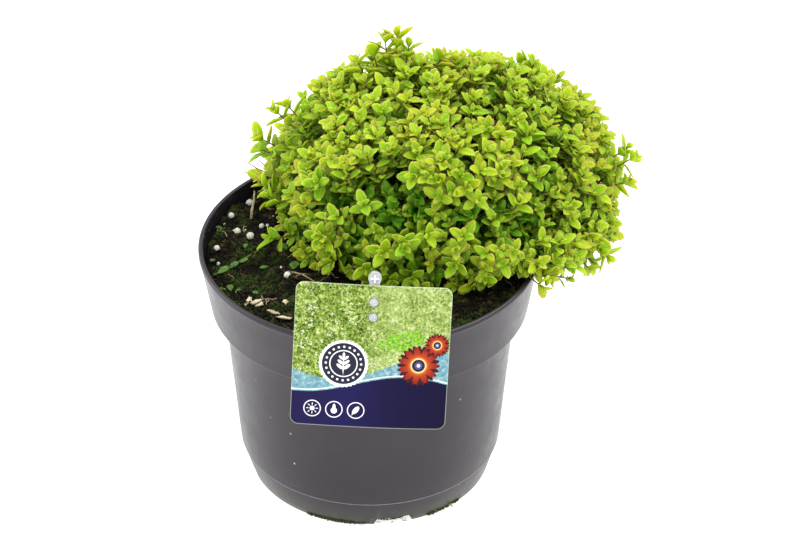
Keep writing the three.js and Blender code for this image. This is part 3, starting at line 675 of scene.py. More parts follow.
def care_signs(card, colour):
    """Three small rings in the foot of the card, with a sun, a drop and a leaf."""
    sun, (drop_x, drop_y), (leaf_x, leaf_y) = SIGNS
    leaf_turn = math.radians(52)
    marks = [card.disc(centre, 4.2) - card.disc(centre, 3.75) for centre in SIGNS]
    marks.append(card.disc(sun, 1.15))
    marks += [card.bar(at, 1.2, 0.42, turn) for at, turn in round_about(sun, 2.25, 8)]
    marks.append(card.disc((drop_x, drop_y - 0.6), 1.5))
    marks.append(card.ellipse((drop_x, drop_y + 0.9), (0.75, 1.9)))
    marks.append(card.ellipse((leaf_x, leaf_y + 0.1), (2.3, 1.15), leaf_turn))
    marks.append(card.bar((leaf_x - 1.4, leaf_y - 1.8), 1.8, 0.42, leaf_turn))
    return card.mix(card.any_of(marks), colour, WHITE)


# Pot

POT_SEGMENTS = 216


def arc(centre, radius, from_deg, to_deg, count):
    """Points along an arc, as radius and height."""
    turns = np.radians(np.linspace(from_deg, to_deg, count))
    return [(centre[0] + radius * math.cos(turn), centre[1] + radius * math.sin(turn)) for turn in turns]


def points_between(low, high, shares):
    """Points at shares of the way from one point to another."""
    return [(low[0] + (high[0] - low[0]) * share, low[1] + (high[1] - low[1]) * share) for share in shares]


def pot_profile():
    """The pot's profile from the axis under its floor, up its outside and down its inside."""
    lip_low = POT_HEIGHT - LIP_HEIGHT
    collar_top = RIM_RADIUS - LIP_PROUD
    foot_inside = FOOT_RADIUS - 2 * WALL
    floor_top = FLOOR_UNDERSIDE + WALL
    floor_reach = PAD_RADIUS + 3.5
    edge = 0.9
    return [
        (0.0, 0.0), (PAD_RADIUS - 1, 0.0), *arc((PAD_RADIUS, 1.0), 1.0, -90, -50, 4),
        *arc((PAD_RADIUS + 3.6, FLOOR_UNDERSIDE - 1.0), 1.0, 130, 90, 4),
        (foot_inside - 0.5, FLOOR_UNDERSIDE), (foot_inside + 0.4, FLOOR_UNDERSIDE - 0.6),
        (FOOT_RADIUS - 1.2 * WALL, 0.0), (FOOT_RADIUS - 0.4, 0.0), (FOOT_RADIUS + 0.05, 0.5),
        (FOOT_RADIUS + 1.15, 4.3), (CREASE[0] - 0.75, CREASE[1] - 1.4), (CREASE[0] - 0.55, CREASE[1] - 0.5),
        (CREASE[0] - 0.1, CREASE[1] - 0.1), (CREASE[0] + 0.06, CREASE[1] + 0.5),
        *points_between(CREASE, BODY_TOP, (0.2, 0.4, 0.6, 0.8, 0.97)),
        (BODY_TOP[0] + 0.35, BODY_TOP[1] + 0.1), (COLLAR_LOW[0] - 1.2, COLLAR_LOW[1] - 0.95),
        *arc((COLLAR_LOW[0] - 1.0, COLLAR_LOW[1] + 0.1), 1.0, -80, 5, 6),
        *points_between(COLLAR_LOW, (collar_top, lip_low), (0.25, 0.5, 0.75, 0.98)),
        (collar_top + 0.08, lip_low + 0.1), (RIM_RADIUS - 0.1, lip_low + 0.55),
        *arc((RIM_RADIUS - LIP_BEAD, POT_HEIGHT - LIP_BEAD), LIP_BEAD, 0, 90, 7),
        *arc((RIM_RADIUS - LIP_WIDTH + edge, POT_HEIGHT - edge), edge, 90, 180, 6),
        (RIM_RADIUS - LIP_WIDTH - 0.1, lip_low),
        (COLLAR_LOW[0] - WALL, COLLAR_LOW[1] + WALL), (BODY_TOP[0] - WALL, BODY_TOP[1] + WALL),
        (CREASE[0] - WALL, CREASE[1]), (FOOT_RADIUS - WALL + 0.5, floor_top),
        (floor_reach, floor_top), (PAD_RADIUS, WALL), (0.0, WALL),
    ]


def inner_radius(z):
    """The radius of the pot's inner face at a height."""
    wall = [
        (FOOT_RADIUS - WALL + 0.5, FLOOR_UNDERSIDE + WALL), (CREASE[0] - WALL, CREASE[1]),
        (BODY_TOP[0] - WALL, BODY_TOP[1] + WALL), (COLLAR_LOW[0] - WALL, COLLAR_LOW[1] + WALL),
        (RIM_RADIUS - LIP_WIDTH, POT_HEIGHT - 0.7),
    ]
    return float(np.interp(z, [height for _, height in wall], [radius for radius, _ in wall]))


def notch_centres():
    return [NOTCH_FIRST + TURN * i / NOTCH_COUNT for i in range(NOTCH_COUNT)]


def notch_lift(angle):
    """How far the foot's edge is raised at an angle round the pot, for the drainage notches."""
    away = min(abs(math.remainder(angle - centre, TURN)) for centre in notch_centres()) * FOOT_RADIUS
    share = (NOTCH_LOW_WIDTH / 2 - away) / ((NOTCH_LOW_WIDTH - NOTCH_HIGH_WIDTH) / 2)
    return NOTCH_HEIGHT * min(1.0, max(0.0, share))


def pot_angles():
    """Even angles round the pot, with the notches' corners among them."""
    angles = [TURN * i / POT_SEGMENTS for i in range(POT_SEGMENTS)]
    for centre in notch_centres():
        for half in (NOTCH_LOW_WIDTH / 2, NOTCH_HIGH_WIDTH / 2):
            angles += [(centre + side * half / FOOT_RADIUS) % TURN for side in (-1, 1)]
    return sorted(angles)


def make_pot(material):
    profile = pot_profile()
    angles = pot_angles()
    points = [(0.0, 0.0, profile[0][1])]
    for radius, z in profile[1:-1]:
        foot = radius > FOOT_RADIUS - 2 * WALL - 0.2 and z < 1.0
        for angle in angles:
            height = max(z, notch_lift(angle)) if foot else z
            points.append((radius * math.cos(angle), radius * math.sin(angle), height))
    points.append((0.0, 0.0, profile[-1][1]))
    pot = mesh_object("pot_shell", points, capped_faces(len(points), len(angles)), material)
    turns = [TURN * (i + 0.5) / DRAIN_COUNT for i in range(DRAIN_COUNT)]
    drains = [Matrix.Rotation(turn, 4, "Z") @ Matrix.Translation((DRAIN_RING, 0, 4.0)) for turn in turns]
    cut(pot, cylinders(drains, DRAIN_RADIUS, 12))
    pot.data.set_sharp_from_angle(angle=math.radians(35))
    place(pot, "pot_plastic", "pot")


# Soil

SOIL_RINGS = 64
SOIL_SEGMENTS = 180
CRUMBS = 3400
BARK_BITS = 420
SMALL_PERLITE = 85
MOSS_BLADES = 260
FIBRES = 70
LARGE_PERLITE = ((-69.5, 33.5), (-66, 18.5), (-59.5, 13.5), (-54, 22), (-76, 5), (-60.5, 45), (-40.5, -22.5))
PALE_CHIPS = ((-59.5, -41), (-55.5, -41.6), (-52.5, -42.4), (-41.5, -44), (-47, -52), (-41.5, -57))
# Each patch of moss: its place and how wide it is.
MOSS_PATCHES = (
    (-75, 20, 5), (-72, -14, 7), (-64, -26, 8), (-50, -30, 9), (-60, 2, 7), (-44, -50, 8), (-74, -34, 6),
    (-30, -62, 7), (48, -60, 7), (20, -72, 6), (-66, -44, 6),
)
# A forked dry twig that reaches out over the rim at the back left, and a short one at the front left.
DRY_TWIGS = (
    ((-38, 50, 131), (-45, 54, 132.5), (-51, 57, 133), (-57, 59, 135), (-62, 61, 137.5)),
    ((-51, 57, 133), (-58, 58, 133.5), (-65, 56, 134)), ((-45, 54, 132.5), (-52, 58, 136), (-56, 61, 139)),
    ((-40, -18, 124.5), (-33, -24, 127), (-27, -31, 127.5)),
)
PALE_ROOT_FOOT = (-59.5, 31)
PALE_ROOT = ((-59, 32.5, 127), (-58, 34, 132), (-57.6, 35.5, 137))
# Each weed leaf on the soil: its place, length and turn in degrees.
WEED_LEAVES = (
    (-75, -19, 7.0, 20), (-69, -14, 5.5, 35), (-64, -9, 4.5, 25), (-68, -33, 5.0, 100), (-66, -31, 4.0, 10),
    (-71, -30, 4.2, 170), (-76, 20, 4.0, 60), (-74, 22, 3.6, 150), (-38, -18, 7.0, 70), (-36, -3, 7.0, 30),
    (-41, 0, 5.5, 120), (-57, -33, 4.0, 300), (-50, -12, 4.5, 200), (-62, 3, 3.8, 80), (-77, -4, 4.2, 250),
    (-34, -49, 4.6, 40), (-29, -56, 4.0, 140), (46, -66, 4.5, 60), (40, -64, 4.0, 170),
)
WEED_STALK = ((-77, -20), (-72, -15), (-66, -9.5), (-60, -4), (-55, -1))
WEED_LIFT = 0.7
# Each clump of moss on the foot: its first and last angle in degrees, how many tufts it has, and how high
# the lowest and the highest are.
FOOT_MOSS = (
    (-124, -90, 300, 0.0, 1.1), (-87, -73, 170, 2.0, 3.9), (-64, -44, 190, 0.0, 1.5),
    (-47, -43, 50, 0.5, 3.4),
)
# The angles between which rootlets hang from the foot.
ROOTLET_SPANS = ((-86, -72), (-62, -42), (-52, -43))
ROOTLETS = 16


def soil_height(x, y):
    """The soil's height, by the same rule as the solid's."""
    out = math.hypot(x, y) / RIM_RADIUS
    waves = math.sin(x / 9 + 1.3) * math.cos(y / 11 - 0.4) + 0.6 * math.sin((x + y) / 5.5)
    waves += 0.5 * math.cos((x - 1.6 * y) / 7)
    return SOIL_EDGE_Z + SOIL_MOUND * (1 - out * out) + SOIL_RELIEF * waves


def rough_soil_height(x, y):
    return soil_height(x, y) + 1.7 * noise.fractal(Vector((x / 5, y / 5, 0.3)), 0.6, 2.1, 5) - 0.3


def on_soil(x, y, lift=0.0):
    return x, y, rough_soil_height(x, y) + lift


def make_soil(material):
    turns = [TURN * i / SOIL_SEGMENTS for i in range(SOIL_SEGMENTS)]
    ring = [(math.cos(turn), math.sin(turn)) for turn in turns]
    edge = inner_radius(SOIL_EDGE_Z) - GAP
    points = [on_soil(0, 0)]
    for step in range(1, SOIL_RINGS + 1):
        radius = edge * step / SOIL_RINGS
        points += [on_soil(radius * x, radius * y) for x, y in ring]
    for radius, z in [(inner_radius(z) - 0.4, z) for z in SOIL_SIDE_HEIGHTS] + [SOIL_BOTTOM]:
        points += [(radius * x, radius * y, z) for x, y in ring]
    points.append((0.0, 0.0, SOIL_BOTTOM[1]))
    faces = capped_faces(len(points), SOIL_SEGMENTS)[:, ::-1]
    place(mesh_object("soil_bed", points, faces, material), "potting_soil", "soil")


def pebble(seed, detail, lumpiness):
    """A lumpy grain about one millimetre in radius."""
    shape = bmesh.new()
    bmesh.ops.create_icosphere(shape, subdivisions=detail, radius=1.0)
    points = np.array([vertex.co[:] for vertex in shape.verts])
    faces = np.array([[vertex.index for vertex in face.verts] for face in shape.faces])
    shape.free()
    shift = Vector((seed * 3.7, seed * 1.9, seed * 5.1))
    lumps = [1 + lumpiness * noise.noise(Vector(point) * 1.7 + shift) for point in points]
    return points * np.reshape(lumps, (-1, 1)), faces


def lying(rng, centre, size):
    """The matrix of a grain that lies turned any way and tilted a little."""
    return placed(centre, size, (rng.uniform(0, TURN), "Z"), (rng.uniform(-0.6, 0.6), "X"))


def grains(name, places, sizes, material, rng, detail=1, lumpiness=0.5, kinds=5):
    """One piece of many lumpy grains, each at a place and with its own size along each axis."""
    parts = []
    for kind in range(min(kinds, len(places))):
        matrices = [lying(rng, *spot) for spot in zip(places[kind::kinds], sizes[kind::kinds])]
        parts.append(copies(*pebble(kind + 1, detail, lumpiness), matrices))
    place(mesh_object(name, *merged(parts), material), "potting_soil")


def place_on_soil(rng, limit=78.5):
    """A random place on the soil's surface."""
    out = limit * math.sqrt(rng.random())
    turn = rng.uniform(0, TURN)
    return on_soil(out * math.cos(turn), out * math.sin(turn))


def make_soil_dressing():
    rng = random.Random(SEEDS["soil"])
    dark = grain_material("soil_crumb", (3, 3, 1), (36, 31, 18))
    bark = grain_material("bark_bit", (14, 11, 6), (76, 62, 38), 2.0)
    white = grain_material("perlite", (168, 164, 150), (226, 222, 208), 0.9)
    pale = grain_material("pale_chip", (150, 136, 102), (226, 216, 184), 1.6)
    spots = [place_on_soil(rng) for _ in range(CRUMBS)]
    sizes = [[rng.uniform(0.35, 1.2) * rng.uniform(0.7, 1.7) for _ in range(3)] for _ in spots]
    grains("soil_crumbs", spots, sizes, dark, rng)
    spots = [place_on_soil(rng) for _ in range(BARK_BITS)]
    sizes = [[rng.uniform(1.2, 3.4), rng.uniform(0.6, 1.6), rng.uniform(0.35, 0.7)] for _ in spots]
    grains("bark_bits", spots, sizes, bark, rng)
    spots, sizes = perlite_grains(rng)
    grains("perlite", spots, sizes, white, rng, detail=2, lumpiness=0.22)
    spots = [on_soil(x, y, 0.7) for x, y in PALE_CHIPS]
    sizes = [[rng.uniform(2.6, 4.2), rng.uniform(1.0, 1.7), rng.uniform(0.6, 0.9)] for _ in spots]
    grains("pale_chips", spots, sizes, pale, rng, detail=2, lumpiness=0.7)
    make_moss(rng)
    make_fibres(rng)


def perlite_grains(rng):
    """The places and sizes of the large grains that stand out, then of many small ones."""
    spots, sizes = [], []
    for x, y in LARGE_PERLITE:
        radius = rng.uniform(1.35, 2.0)
        spots.append((x, y, soil_height(x, y) + 0.5 * radius))
        sizes.append([radius * rng.uniform(0.9, 1.1) for _ in range(3)])
    for _ in range(SMALL_PERLITE):
        x, y, z = place_on_soil(rng)
        radius = rng.uniform(0.35, 0.95)
        spots.append((x, y, z + 0.3 * radius))
        sizes.append([radius * rng.uniform(0.8, 1.2) for _ in range(3)])
    return spots, sizes


def make_moss(rng):
    """Low cushions of moss: many short blades that lean every way."""
    green = grain_material("moss_bed", (26, 42, 10), (84, 116, 42), 0.8)
    blade = np.array([(-0.22, 0, 0), (0.22, 0, 0), (0, 0.16, 0), (0, 0.1, 1.0)])
    faces = np.array([(0, 2, 1), (0, 1, 3), (1, 2, 3), (2, 0, 3)])
    matrices = []
    for centre_x, centre_y, spread in MOSS_PATCHES:
        for _ in range(MOSS_BLADES):
            x, y = centre_x + rng.gauss(0, spread * 0.5), centre_y + rng.gauss(0, spread * 0.45)
            if math.hypot(x, y) > SOIL_REACH:
                continue
            size = rng.uniform(0.7, 1.5)
            turns = ((rng.uniform(0, TURN), "Z"), (rng.uniform(0, 0.9), "X"))
            matrices.append(placed(on_soil(x, y, -0.1), (size, size, size * rng.uniform(0.9, 1.7)), *turns))
    place(mesh_object("soil_moss", *copies(blade, faces, matrices), green), "potting_soil")


def fibre_path(rng):
    """A curved path on the soil, which ends at the pot's wall."""
    x, y, _ = place_on_soil(rng, 74)
    turn, length, curve = rng.uniform(0, TURN), rng.uniform(4, 14), rng.uniform(-0.8, 0.8)
    path = []
    for share in np.linspace(0, 1, 7):
        way = turn + curve * share
        px, py = x + length * share * math.cos(way), y + length * share * math.sin(way)
        if math.hypot(px, py) > SOIL_REACH:
            break
        path.append(on_soil(px, py, 0.35 + 1.2 * math.sin(math.pi * share) * rng.random()))
    return path


def make_fibres(rng):
    """Loose fibres and thin dry twigs on the soil, and one pale root that stands up."""
    dry = grain_material("dry_fibre", (96, 78, 56), (176, 156, 118), 1.5)
    parts = []
    for _ in range(FIBRES):
        path = fibre_path(rng)
        if len(path) > 3:
            parts.append(tube(path, [rng.uniform(0.14, 0.34)] * len(path), 5))
    parts += [tube(path, np.linspace(0.6, 0.22, len(path))) for path in DRY_TWIGS]
    place(mesh_object("dry_fibres", *merged(parts), dry), "potting_soil")
    pale = grain_material("pale_root", (132, 118, 96), (206, 192, 164), 1.4)
    foot = (*PALE_ROOT_FOOT, soil_height(*PALE_ROOT_FOOT) - 1)
    root = tube((foot, *PALE_ROOT), (0.75, 0.7, 0.6, 0.3), 8)
    place(mesh_object("pale_root", *root, pale), "potting_soil")


def make_weeds():
    """Flat dull-green leaves of small weeds, with the thin stalk that some of them grow from."""
    rng = random.Random(SEEDS["weeds"])
    green = grain_material("weed_leaf", (30, 52, 16), (96, 132, 58), 1.4, roughness=0.6)
    template, faces, _ = leaf_template(FINE_STATIONS, 5, 0.25, 0.1)
    matrices = []
    for x, y, length, turn in WEED_LEAVES:
        turns = ((math.radians(turn), "Z"), (-rng.uniform(0.1, 0.45), "Y"))
        matrices.append(placed(on_soil(x, y, WEED_LIFT), (length, length * 1.25, length), *turns))
    stalk = [on_soil(x, y, WEED_LIFT) for x, y in WEED_STALK]
    parts = [copies(template, faces, matrices), tube(stalk, (0.5, 0.6, 0.6, 0.5, 0.3))]
    place(mesh_object("soil_weeds", *merged(parts), green), "potting_soil")


def make_foot_moss():
    """Moss along the foot and in its front notch, with a few pale rootlets."""
    rng = random.Random(SEEDS["foot"])
    matrices = []
    for first, last, count, low, high in FOOT_MOSS:
        for _ in range(count):
            angle = math.radians(rng.triangular(first, last))
            z = low + (high - low) * rng.random() ** 1.4 + 0.3
            radius = FOOT_RADIUS + (-0.9 if low > 1 else 0.1) + rng.uniform(-0.5, 0.4)
            size = rng.uniform(0.3, 0.75)
            sizes = (size * rng.uniform(0.6, 1.3), size * 0.7, size * rng.uniform(0.7, 1.3))
            at = (radius * math.cos(angle), radius * math.sin(angle), max(z, size))
            matrices.append(lying(rng, at, sizes))
    green = grain_material("foot_moss", (20, 27, 8), (84, 96, 48), 0.7)
    place(mesh_object("foot_moss", *copies(*pebble(4, 1, 0.6), matrices), green), "potting_soil")
    pale = grain_material("rootlets", (150, 150, 122), (226, 226, 204), 0.8)
    roots = [rootlet(rng) for _ in range(ROOTLETS)]
    place(mesh_object("foot_rootlets", *merged(roots), pale), "potting_soil")


def rootlet(rng):
    """A thin crooked root that starts at the foot and stays above the ground."""
    angle = math.radians(rng.choice([rng.uniform(*span) for span in ROOTLET_SPANS]))
    at = np.array([FOOT_RADIUS * math.cos(angle), FOOT_RADIUS * math.sin(angle), rng.uniform(0.6, 3.2)])
    path = [at]
    for _ in range(5):
        at = at + (rng.uniform(-0.9, 1.1), rng.uniform(-0.9, 0.5), rng.uniform(-0.5, 0.7))
        at[2] = max(at[2], 0.35)
        path.append(at)
    return tube(path, np.linspace(0.28, 0.12, len(path)), 5)


# Label and clip

CARD_COLUMNS = 61
CARD_ROWS = 59
CARD_MARGIN = 2
CUT_DEPTH = 20


def label_matrix():
    """The label's own frame, in millimetres: x across it, z up it and -y out of its face."""
    from_rim = (CARD_CENTRE[1] - POT_HEIGHT) * math.tan(CARD_LEAN) - CARD_BACK_GAP / math.cos(CARD_LEAN)
    at = Matrix.Translation((CARD_CENTRE[0], from_rim - RIM_RADIUS, CARD_CENTRE[1]))
    return at @ Matrix.Rotation(-CARD_LEAN, 4, "X") @ Matrix.Rotation(CARD_ROLL, 4, "Y")


def bent(x, z):
    """How far back the card is at a place on it: it is bowed, and its low right corner is curled back."""
    corner = max(0.0, x / (CARD_WIDTH / 2)) * max(0.0, -z / (CARD_HEIGHT / 2))
    return x * x * 4 * CARD_BOW / CARD_WIDTH ** 2 + CARD_CURL * corner ** 2


def card_slab(material):
    """A flat slab, a little larger than the card, of small enough faces to be bent."""
    across = np.linspace(-0.5, 0.5, CARD_COLUMNS) * (CARD_WIDTH + CARD_MARGIN)
    up = np.linspace(-0.5, 0.5, CARD_ROWS) * (CARD_HEIGHT + CARD_MARGIN)
    slab = [(x, y, z) for y in (-CARD_THICKNESS / 2, CARD_THICKNESS / 2) for z in up for x in across]
    front = grid_faces(CARD_ROWS, CARD_COLUMNS)
    size = CARD_ROWS * CARD_COLUMNS
    place_of = np.arange(size).reshape(CARD_ROWS, CARD_COLUMNS)
    edge = [*place_of[0], *place_of[1:, -1], *place_of[-1, -2::-1], *place_of[-2:0:-1, 0]]
    faces = [*front, *(front[:, ::-1] + size)]
    for a, b in zip(edge, edge[1:] + edge[:1]):
        faces += [(a, a + size, b), (b, a + size, b + size)]
    return mesh_object("label_sheet", slab, faces, material, smooth=False)


def make_card(material):
    card = card_slab(material)
    outline = []
    for side, height, start in ((1, 1, 0), (-1, 1, 90), (-1, -1, 180), (1, -1, 270)):
        centre = (side * (CARD_WIDTH / 2 - CARD_CORNER), height * (CARD_HEIGHT / 2 - CARD_CORNER))
        outline += arc(centre, CARD_CORNER, start, start + 90, 10)
    cut(card, prism(outline, CUT_DEPTH), "INTERSECT")
    holes = [Matrix.Translation((0, 0, CARD_HEIGHT / 2 - drop)) @ Matrix.Rotation(TURN / 4, 4, "X")
             for drop in CLIP_STUD_DROPS]
    cut(card, cylinders(holes, CLIP_STUD_RADIUS + GAP, CUT_DEPTH))
    finish_card(card.data)
    place(card, "label_card", "label_card")


def finish_card(mesh):
    """Gives the flat card its print's places and its bare back, bends it and stands it at the rim."""
    mesh.materials.append(grain_material("card_back", (196, 198, 190), (224, 226, 220), 6.0, roughness=0.5))
    for face in mesh.polygons:
        face.material_index = 1 if face.normal.y > 0.5 else 0
    for extra in list(mesh.uv_layers):
        mesh.uv_layers.remove(extra)
    uv = mesh.uv_layers.new(name="card")
    for loop in mesh.loops:
        at = mesh.vertices[loop.vertex_index].co / MM
        uv.data[loop.index].uv = (at.x / CARD_WIDTH + 0.5, at.z / CARD_HEIGHT + 0.5)
    matrix = label_matrix()
    for vertex in mesh.vertices:
        x, y, z = vertex.co / MM
        vertex.co = (matrix @ Vector((x, y + bent(x, z), z))) * MM
    mesh.polygons.foreach_set("use_smooth", np.full(len(mesh.polygons), True))
    mesh.set_sharp_from_angle(angle=math.radians(30))
    mesh.update()


def add_rounded(shape, piece, matrix, rounding=CLIP_ROUNDING):
    """Adds a piece to a bmesh, with its sharp edges rounded."""
    sharp = [edge for edge in piece.edges if edge.calc_face_angle(0) > 1.0]
    bmesh.ops.bevel(piece, geom=sharp, offset=rounding, segments=3, affect="EDGES", profile=0.5)
    bmesh.ops.transform(piece, matrix=matrix, verts=piece.verts)
    mesh = bpy.data.meshes.new("clip_piece")
    piece.to_mesh(mesh)
    piece.free()
    shape.from_mesh(mesh)
    bpy.data.meshes.remove(mesh)


def block(*size):
    shape = bmesh.new()
    bmesh.ops.create_cube(shape, size=1.0, matrix=Matrix.Diagonal((*size, 1)))
    return shape


def stud(radius, depth):
    return cylinders([Matrix.Rotation(TURN / 4, 4, "X")], radius, depth, sides=40)


def make_clip(material):
    """The clear clip: a head, a tongue with two studs, and a leg down into the soil."""
    front = CARD_THICKNESS / 2 + CLIP_GAP
    head_z = CARD_HEIGHT / 2 + CLIP_HEAD_ABOVE
    make_clip_cross(Matrix.Translation((0, front - 0.2, head_z)))
    clip = bmesh.new()
    tongue = CLIP_TONGUE_DROP + CLIP_HEAD_ABOVE
    at = Matrix.Translation((0, front + CLIP_THICKNESS / 2, head_z - tongue / 2))
    add_rounded(clip, block(CLIP_WIDTH, CLIP_THICKNESS, tongue), at, STRIP_ROUNDING)
    at = Matrix.Translation((0, front + CLIP_HEAD_DEPTH / 2, head_z))
    add_rounded(clip, stud(CLIP_HEAD_RADIUS, CLIP_HEAD_DEPTH), at)
    for drop in CLIP_STUD_DROPS:
        at = Matrix.Translation((0, 0.1, CARD_HEIGHT / 2 - drop))
        add_rounded(clip, stud(CLIP_STUD_RADIUS, CLIP_STUD_DEPTH), at)
    leg_y = front + CLIP_HEAD_DEPTH - CLIP_THICKNESS / 2
    leg = CARD_CENTRE[1] + head_z * math.cos(CARD_LEAN) - CLIP_LEG_BOTTOM
    upright = Matrix.Translation((0, leg_y, head_z)) @ Matrix.Rotation(CARD_LEAN, 4, "X")
    at = upright @ Matrix.Translation((0, 0, -leg / 2))
    add_rounded(clip, block(CLIP_WIDTH, CLIP_THICKNESS, leg), at, STRIP_ROUNDING)
    bmesh.ops.transform(clip, matrix=label_matrix(), verts=clip.verts)
    made = bmesh_object("label_clip_clear", clip, material)
    made.data.set_sharp_from_angle(angle=math.radians(40))
    place(made, "clear_plastic", "label_clip")


def make_clip_cross(at):
    """The frosted cross on the clip's head."""
    cross = bmesh.new()
    for turn in (0, TURN / 4):
        bar_at = label_matrix() @ at @ Matrix.Rotation(turn, 4, "Y")
        add_rounded(cross, block(*CROSS_BAR), bar_at, CROSS_ROUNDING)
    place(bmesh_object("label_clip_ribs", cross, frosted_material()), "clear_plastic")


# Foliage

def swelling(outward, at, strength, narrow):
    """How strongly a direction from the cushion's centre is in a place that swells or sinks."""
    return strength * max(0.0, float(np.dot(outward, at))) ** narrow


def hollow_strength(outward):
    """How strongly a direction from the cushion's centre is in a hollow: 0 outside them all and up to 1."""
    return max(swelling(outward, unit(at), strength, narrow) for at, strength, narrow in HOLLOWS)


def dome_depth(point):
    """A point's place in the cushion: 0 at its centre and 1 on its surface."""
    offset = point - DOME_CENTRE
    reach = (DOME_HALF[0], DOME_HALF_FRONT if offset[1] < 0 else DOME_HALF[1], DOME_HALF[2])
    total = sum(abs(value / half) ** DOME_POWER for value, half in zip(offset, reach))
    turn = math.atan2(offset[1], offset[0])
    growth = 1 + DOME_SWELL * (0.6 * math.sin(3 * turn + 0.7) + 0.4 * math.sin(5 * turn + offset[2] / 22))
    outward = unit(offset / DOME_HALF)
    growth += sum(swelling(outward, *shoulder) for shoulder in SHOULDERS)
    growth -= HOLLOW_DEPTH * hollow_strength(outward)
    return total ** (1 / DOME_POWER) / growth


def dome_reach(direction):
    """How far the cushion reaches from the crown in a direction."""
    low, high = 0.0, 3 * DOME_HALF[0]
    for _ in range(20):
        middle = (low + high) / 2
        if dome_depth(CROWN + direction * middle) < 1:
            low = middle
        else:
            high = middle
    return low


def spread_directions(count, lowest, jitter=0.0, rng=None):
    """Directions from the crown to points spread evenly over the cushion, from its top down."""
    directions = []
    for i in range(count):
        height = 1 - (1 - lowest) * ((i + 0.5) / count)
        turn = i * GOLDEN_ANGLE
        if rng:
            height = min(1.0, height + jitter * rng.uniform(-1, 1))
            turn += jitter * rng.uniform(-1, 1)
        out = math.sqrt(max(0.0, 1 - height * height))
        on_ball = np.array([out * math.cos(turn), out * math.sin(turn), height])
        directions.append(unit(on_ball * DOME_HALF + DOME_CENTRE - CROWN))
    return np.array(directions)


STEM_DIRECTIONS = spread_directions(len(STEM_NODES), STEM_LOWEST)


def nearest_stem(direction):
    return int(np.argmax(STEM_DIRECTIONS @ direction))


def lowest_clear(point):
    """The lowest clear height over a place: just above the soil, then over the pot's rim, then beside it."""
    out = math.hypot(point[0], point[1])
    over_rim = POT_HEIGHT + RIM_CLEARANCE
    past = out - RIM_RADIUS - RIM_CLEARANCE
    if past > 0:
        return max(COLLAR_LOW[1], over_rim - HANG_SLOPE * past)
    ground = soil_height(point[0], point[1]) + 1
    climb = min(1.0, max(0.0, (out / RIM_RADIUS - CLIMB_FROM) / CLIMB_SHARE))
    return ground + (over_rim - ground) * climb


def stem_middle(direction):
    """The middle of a stem's share of the cushion, which its twigs spread out from."""
    middle = CROWN + direction * dome_reach(direction) * STEM_SHARE
    middle[2] = max(middle[2], lowest_clear(middle) + STEM_CLEARANCE)
    return middle


LEAF_HALF_WIDTH = 0.275
LEAF_STALK = 0.28


def leaf_half_width(along):
    """Half a leaf's width at a place along it, as shares of its length: a blunt oval on a short stalk."""
    blade = math.sin(math.pi * min(1.0, max(0.0, along)) ** 1.03) ** 0.52
    stalk = min(1.0, along / LEAF_STALK)
    return LEAF_HALF_WIDTH * blade * stalk ** 0.75 + 0.03 * (1 - along)


def leaf_template(stations, columns, cup, droop):
    """A leaf's closed mesh, and each point's place across and along it.

    The leaf is one unit long, with its base at the origin and its tip along +X. It is folded along its
    middle, rounded under, and bends down towards its tip.
    """
    points, places = [], []
    for along in stations:
        half = leaf_half_width(along)
        sag = droop * along ** 2
        for across in np.linspace(-1, 1, columns):
            fold = cup * half * (1.5 * abs(across) - 0.35 * abs(across) ** 3)
            points.append((along, across * half, fold - sag))
            places.append((0.5 + 0.5 * across, along))
        keel = 0.012 + 0.045 * math.sin(math.pi * min(1.0, along + 0.08))
        points.append((along, 0.0, -keel - sag))
        places.append((0.5, along))
    points.append((1.0, 0.0, -droop - 0.012))
    places.append((0.5, 1.0))
    around, tip = columns + 1, len(points) - 1
    faces = [*grid_faces(len(stations), around, wrap=True)[:, ::-1]]
    faces += [(tip - around + i, tip, tip - around + (i + 1) % around) for i in range(around)]
    faces += [(0, i, i + 1) for i in range(1, around - 1)]
    return np.array(points), np.array(faces), np.array(places)


FINE_STATIONS = (0.0, 0.17, 0.45, 0.76, 0.95)
PLAIN_STATIONS = (0.0, 0.28, 0.7, 0.96)
# The cup and the droop of each kind of leaf.
FINE_KINDS = ((0.34, 0.05), (0.2, 0.12), (0.45, 0.02), (0.28, 0.2))
PLAIN_KINDS = ((0.3, 0.06), (0.2, 0.16))
# The leaves' meshes, for fine leaves and for plain ones.
LEAVES = {
    True: [leaf_template(FINE_STATIONS, 5, *kind) for kind in FINE_KINDS],
    False: [leaf_template(PLAIN_STATIONS, 3, *kind) for kind in PLAIN_KINDS],
}

# Each pair of leaves down a shoot from its tip: how far down it is, its size and its rise in degrees.
PAIRS = (
    (0.0, 0.3, 74), (0.8, 0.6, 56), (2.6, 0.96, 40), (6.0, 1.0, 28), (11.2, 0.9, 22), (16.8, 0.8, 16),
    (22.4, 0.74, 14),
)
# The small leaves beside the lower pairs: the first pair that has them, their rise and their size.
SIDE_PAIRS_FROM = 4
SIDE_RISE = math.radians(62)
SIDE_SIZE = 0.42
# The cushion's layers from its surface in. Each has a share of the shoots, how far in their tips are, the
# length of their leaves, how much painted light they get (1 is fully lit, lower is painted shade), and how
# many pairs of leaves and of fine leaves a shoot has.
Layer = namedtuple("Layer", "share inset size brightness pairs fine")
OUTER = Layer(0.38, (1.0, 5.0), (7.0, 9.8), 1.0, 7, 4)
LOWER = Layer(0.24, (6.0, 12.0), (5.0, 7.4), 0.9, 5, 3)
INNER = Layer(0.24, (10.0, 24.0), (8.0, 10.6), 0.36, 4, 0)
HEART = Layer(0.14, (24.0, 62.0), (12.5, 16.5), 0.15, 4, 0)
LAYERS = (OUTER, LOWER, INNER, HEART)
PROUD = OUTER._replace(size=(9.6, 11.6))
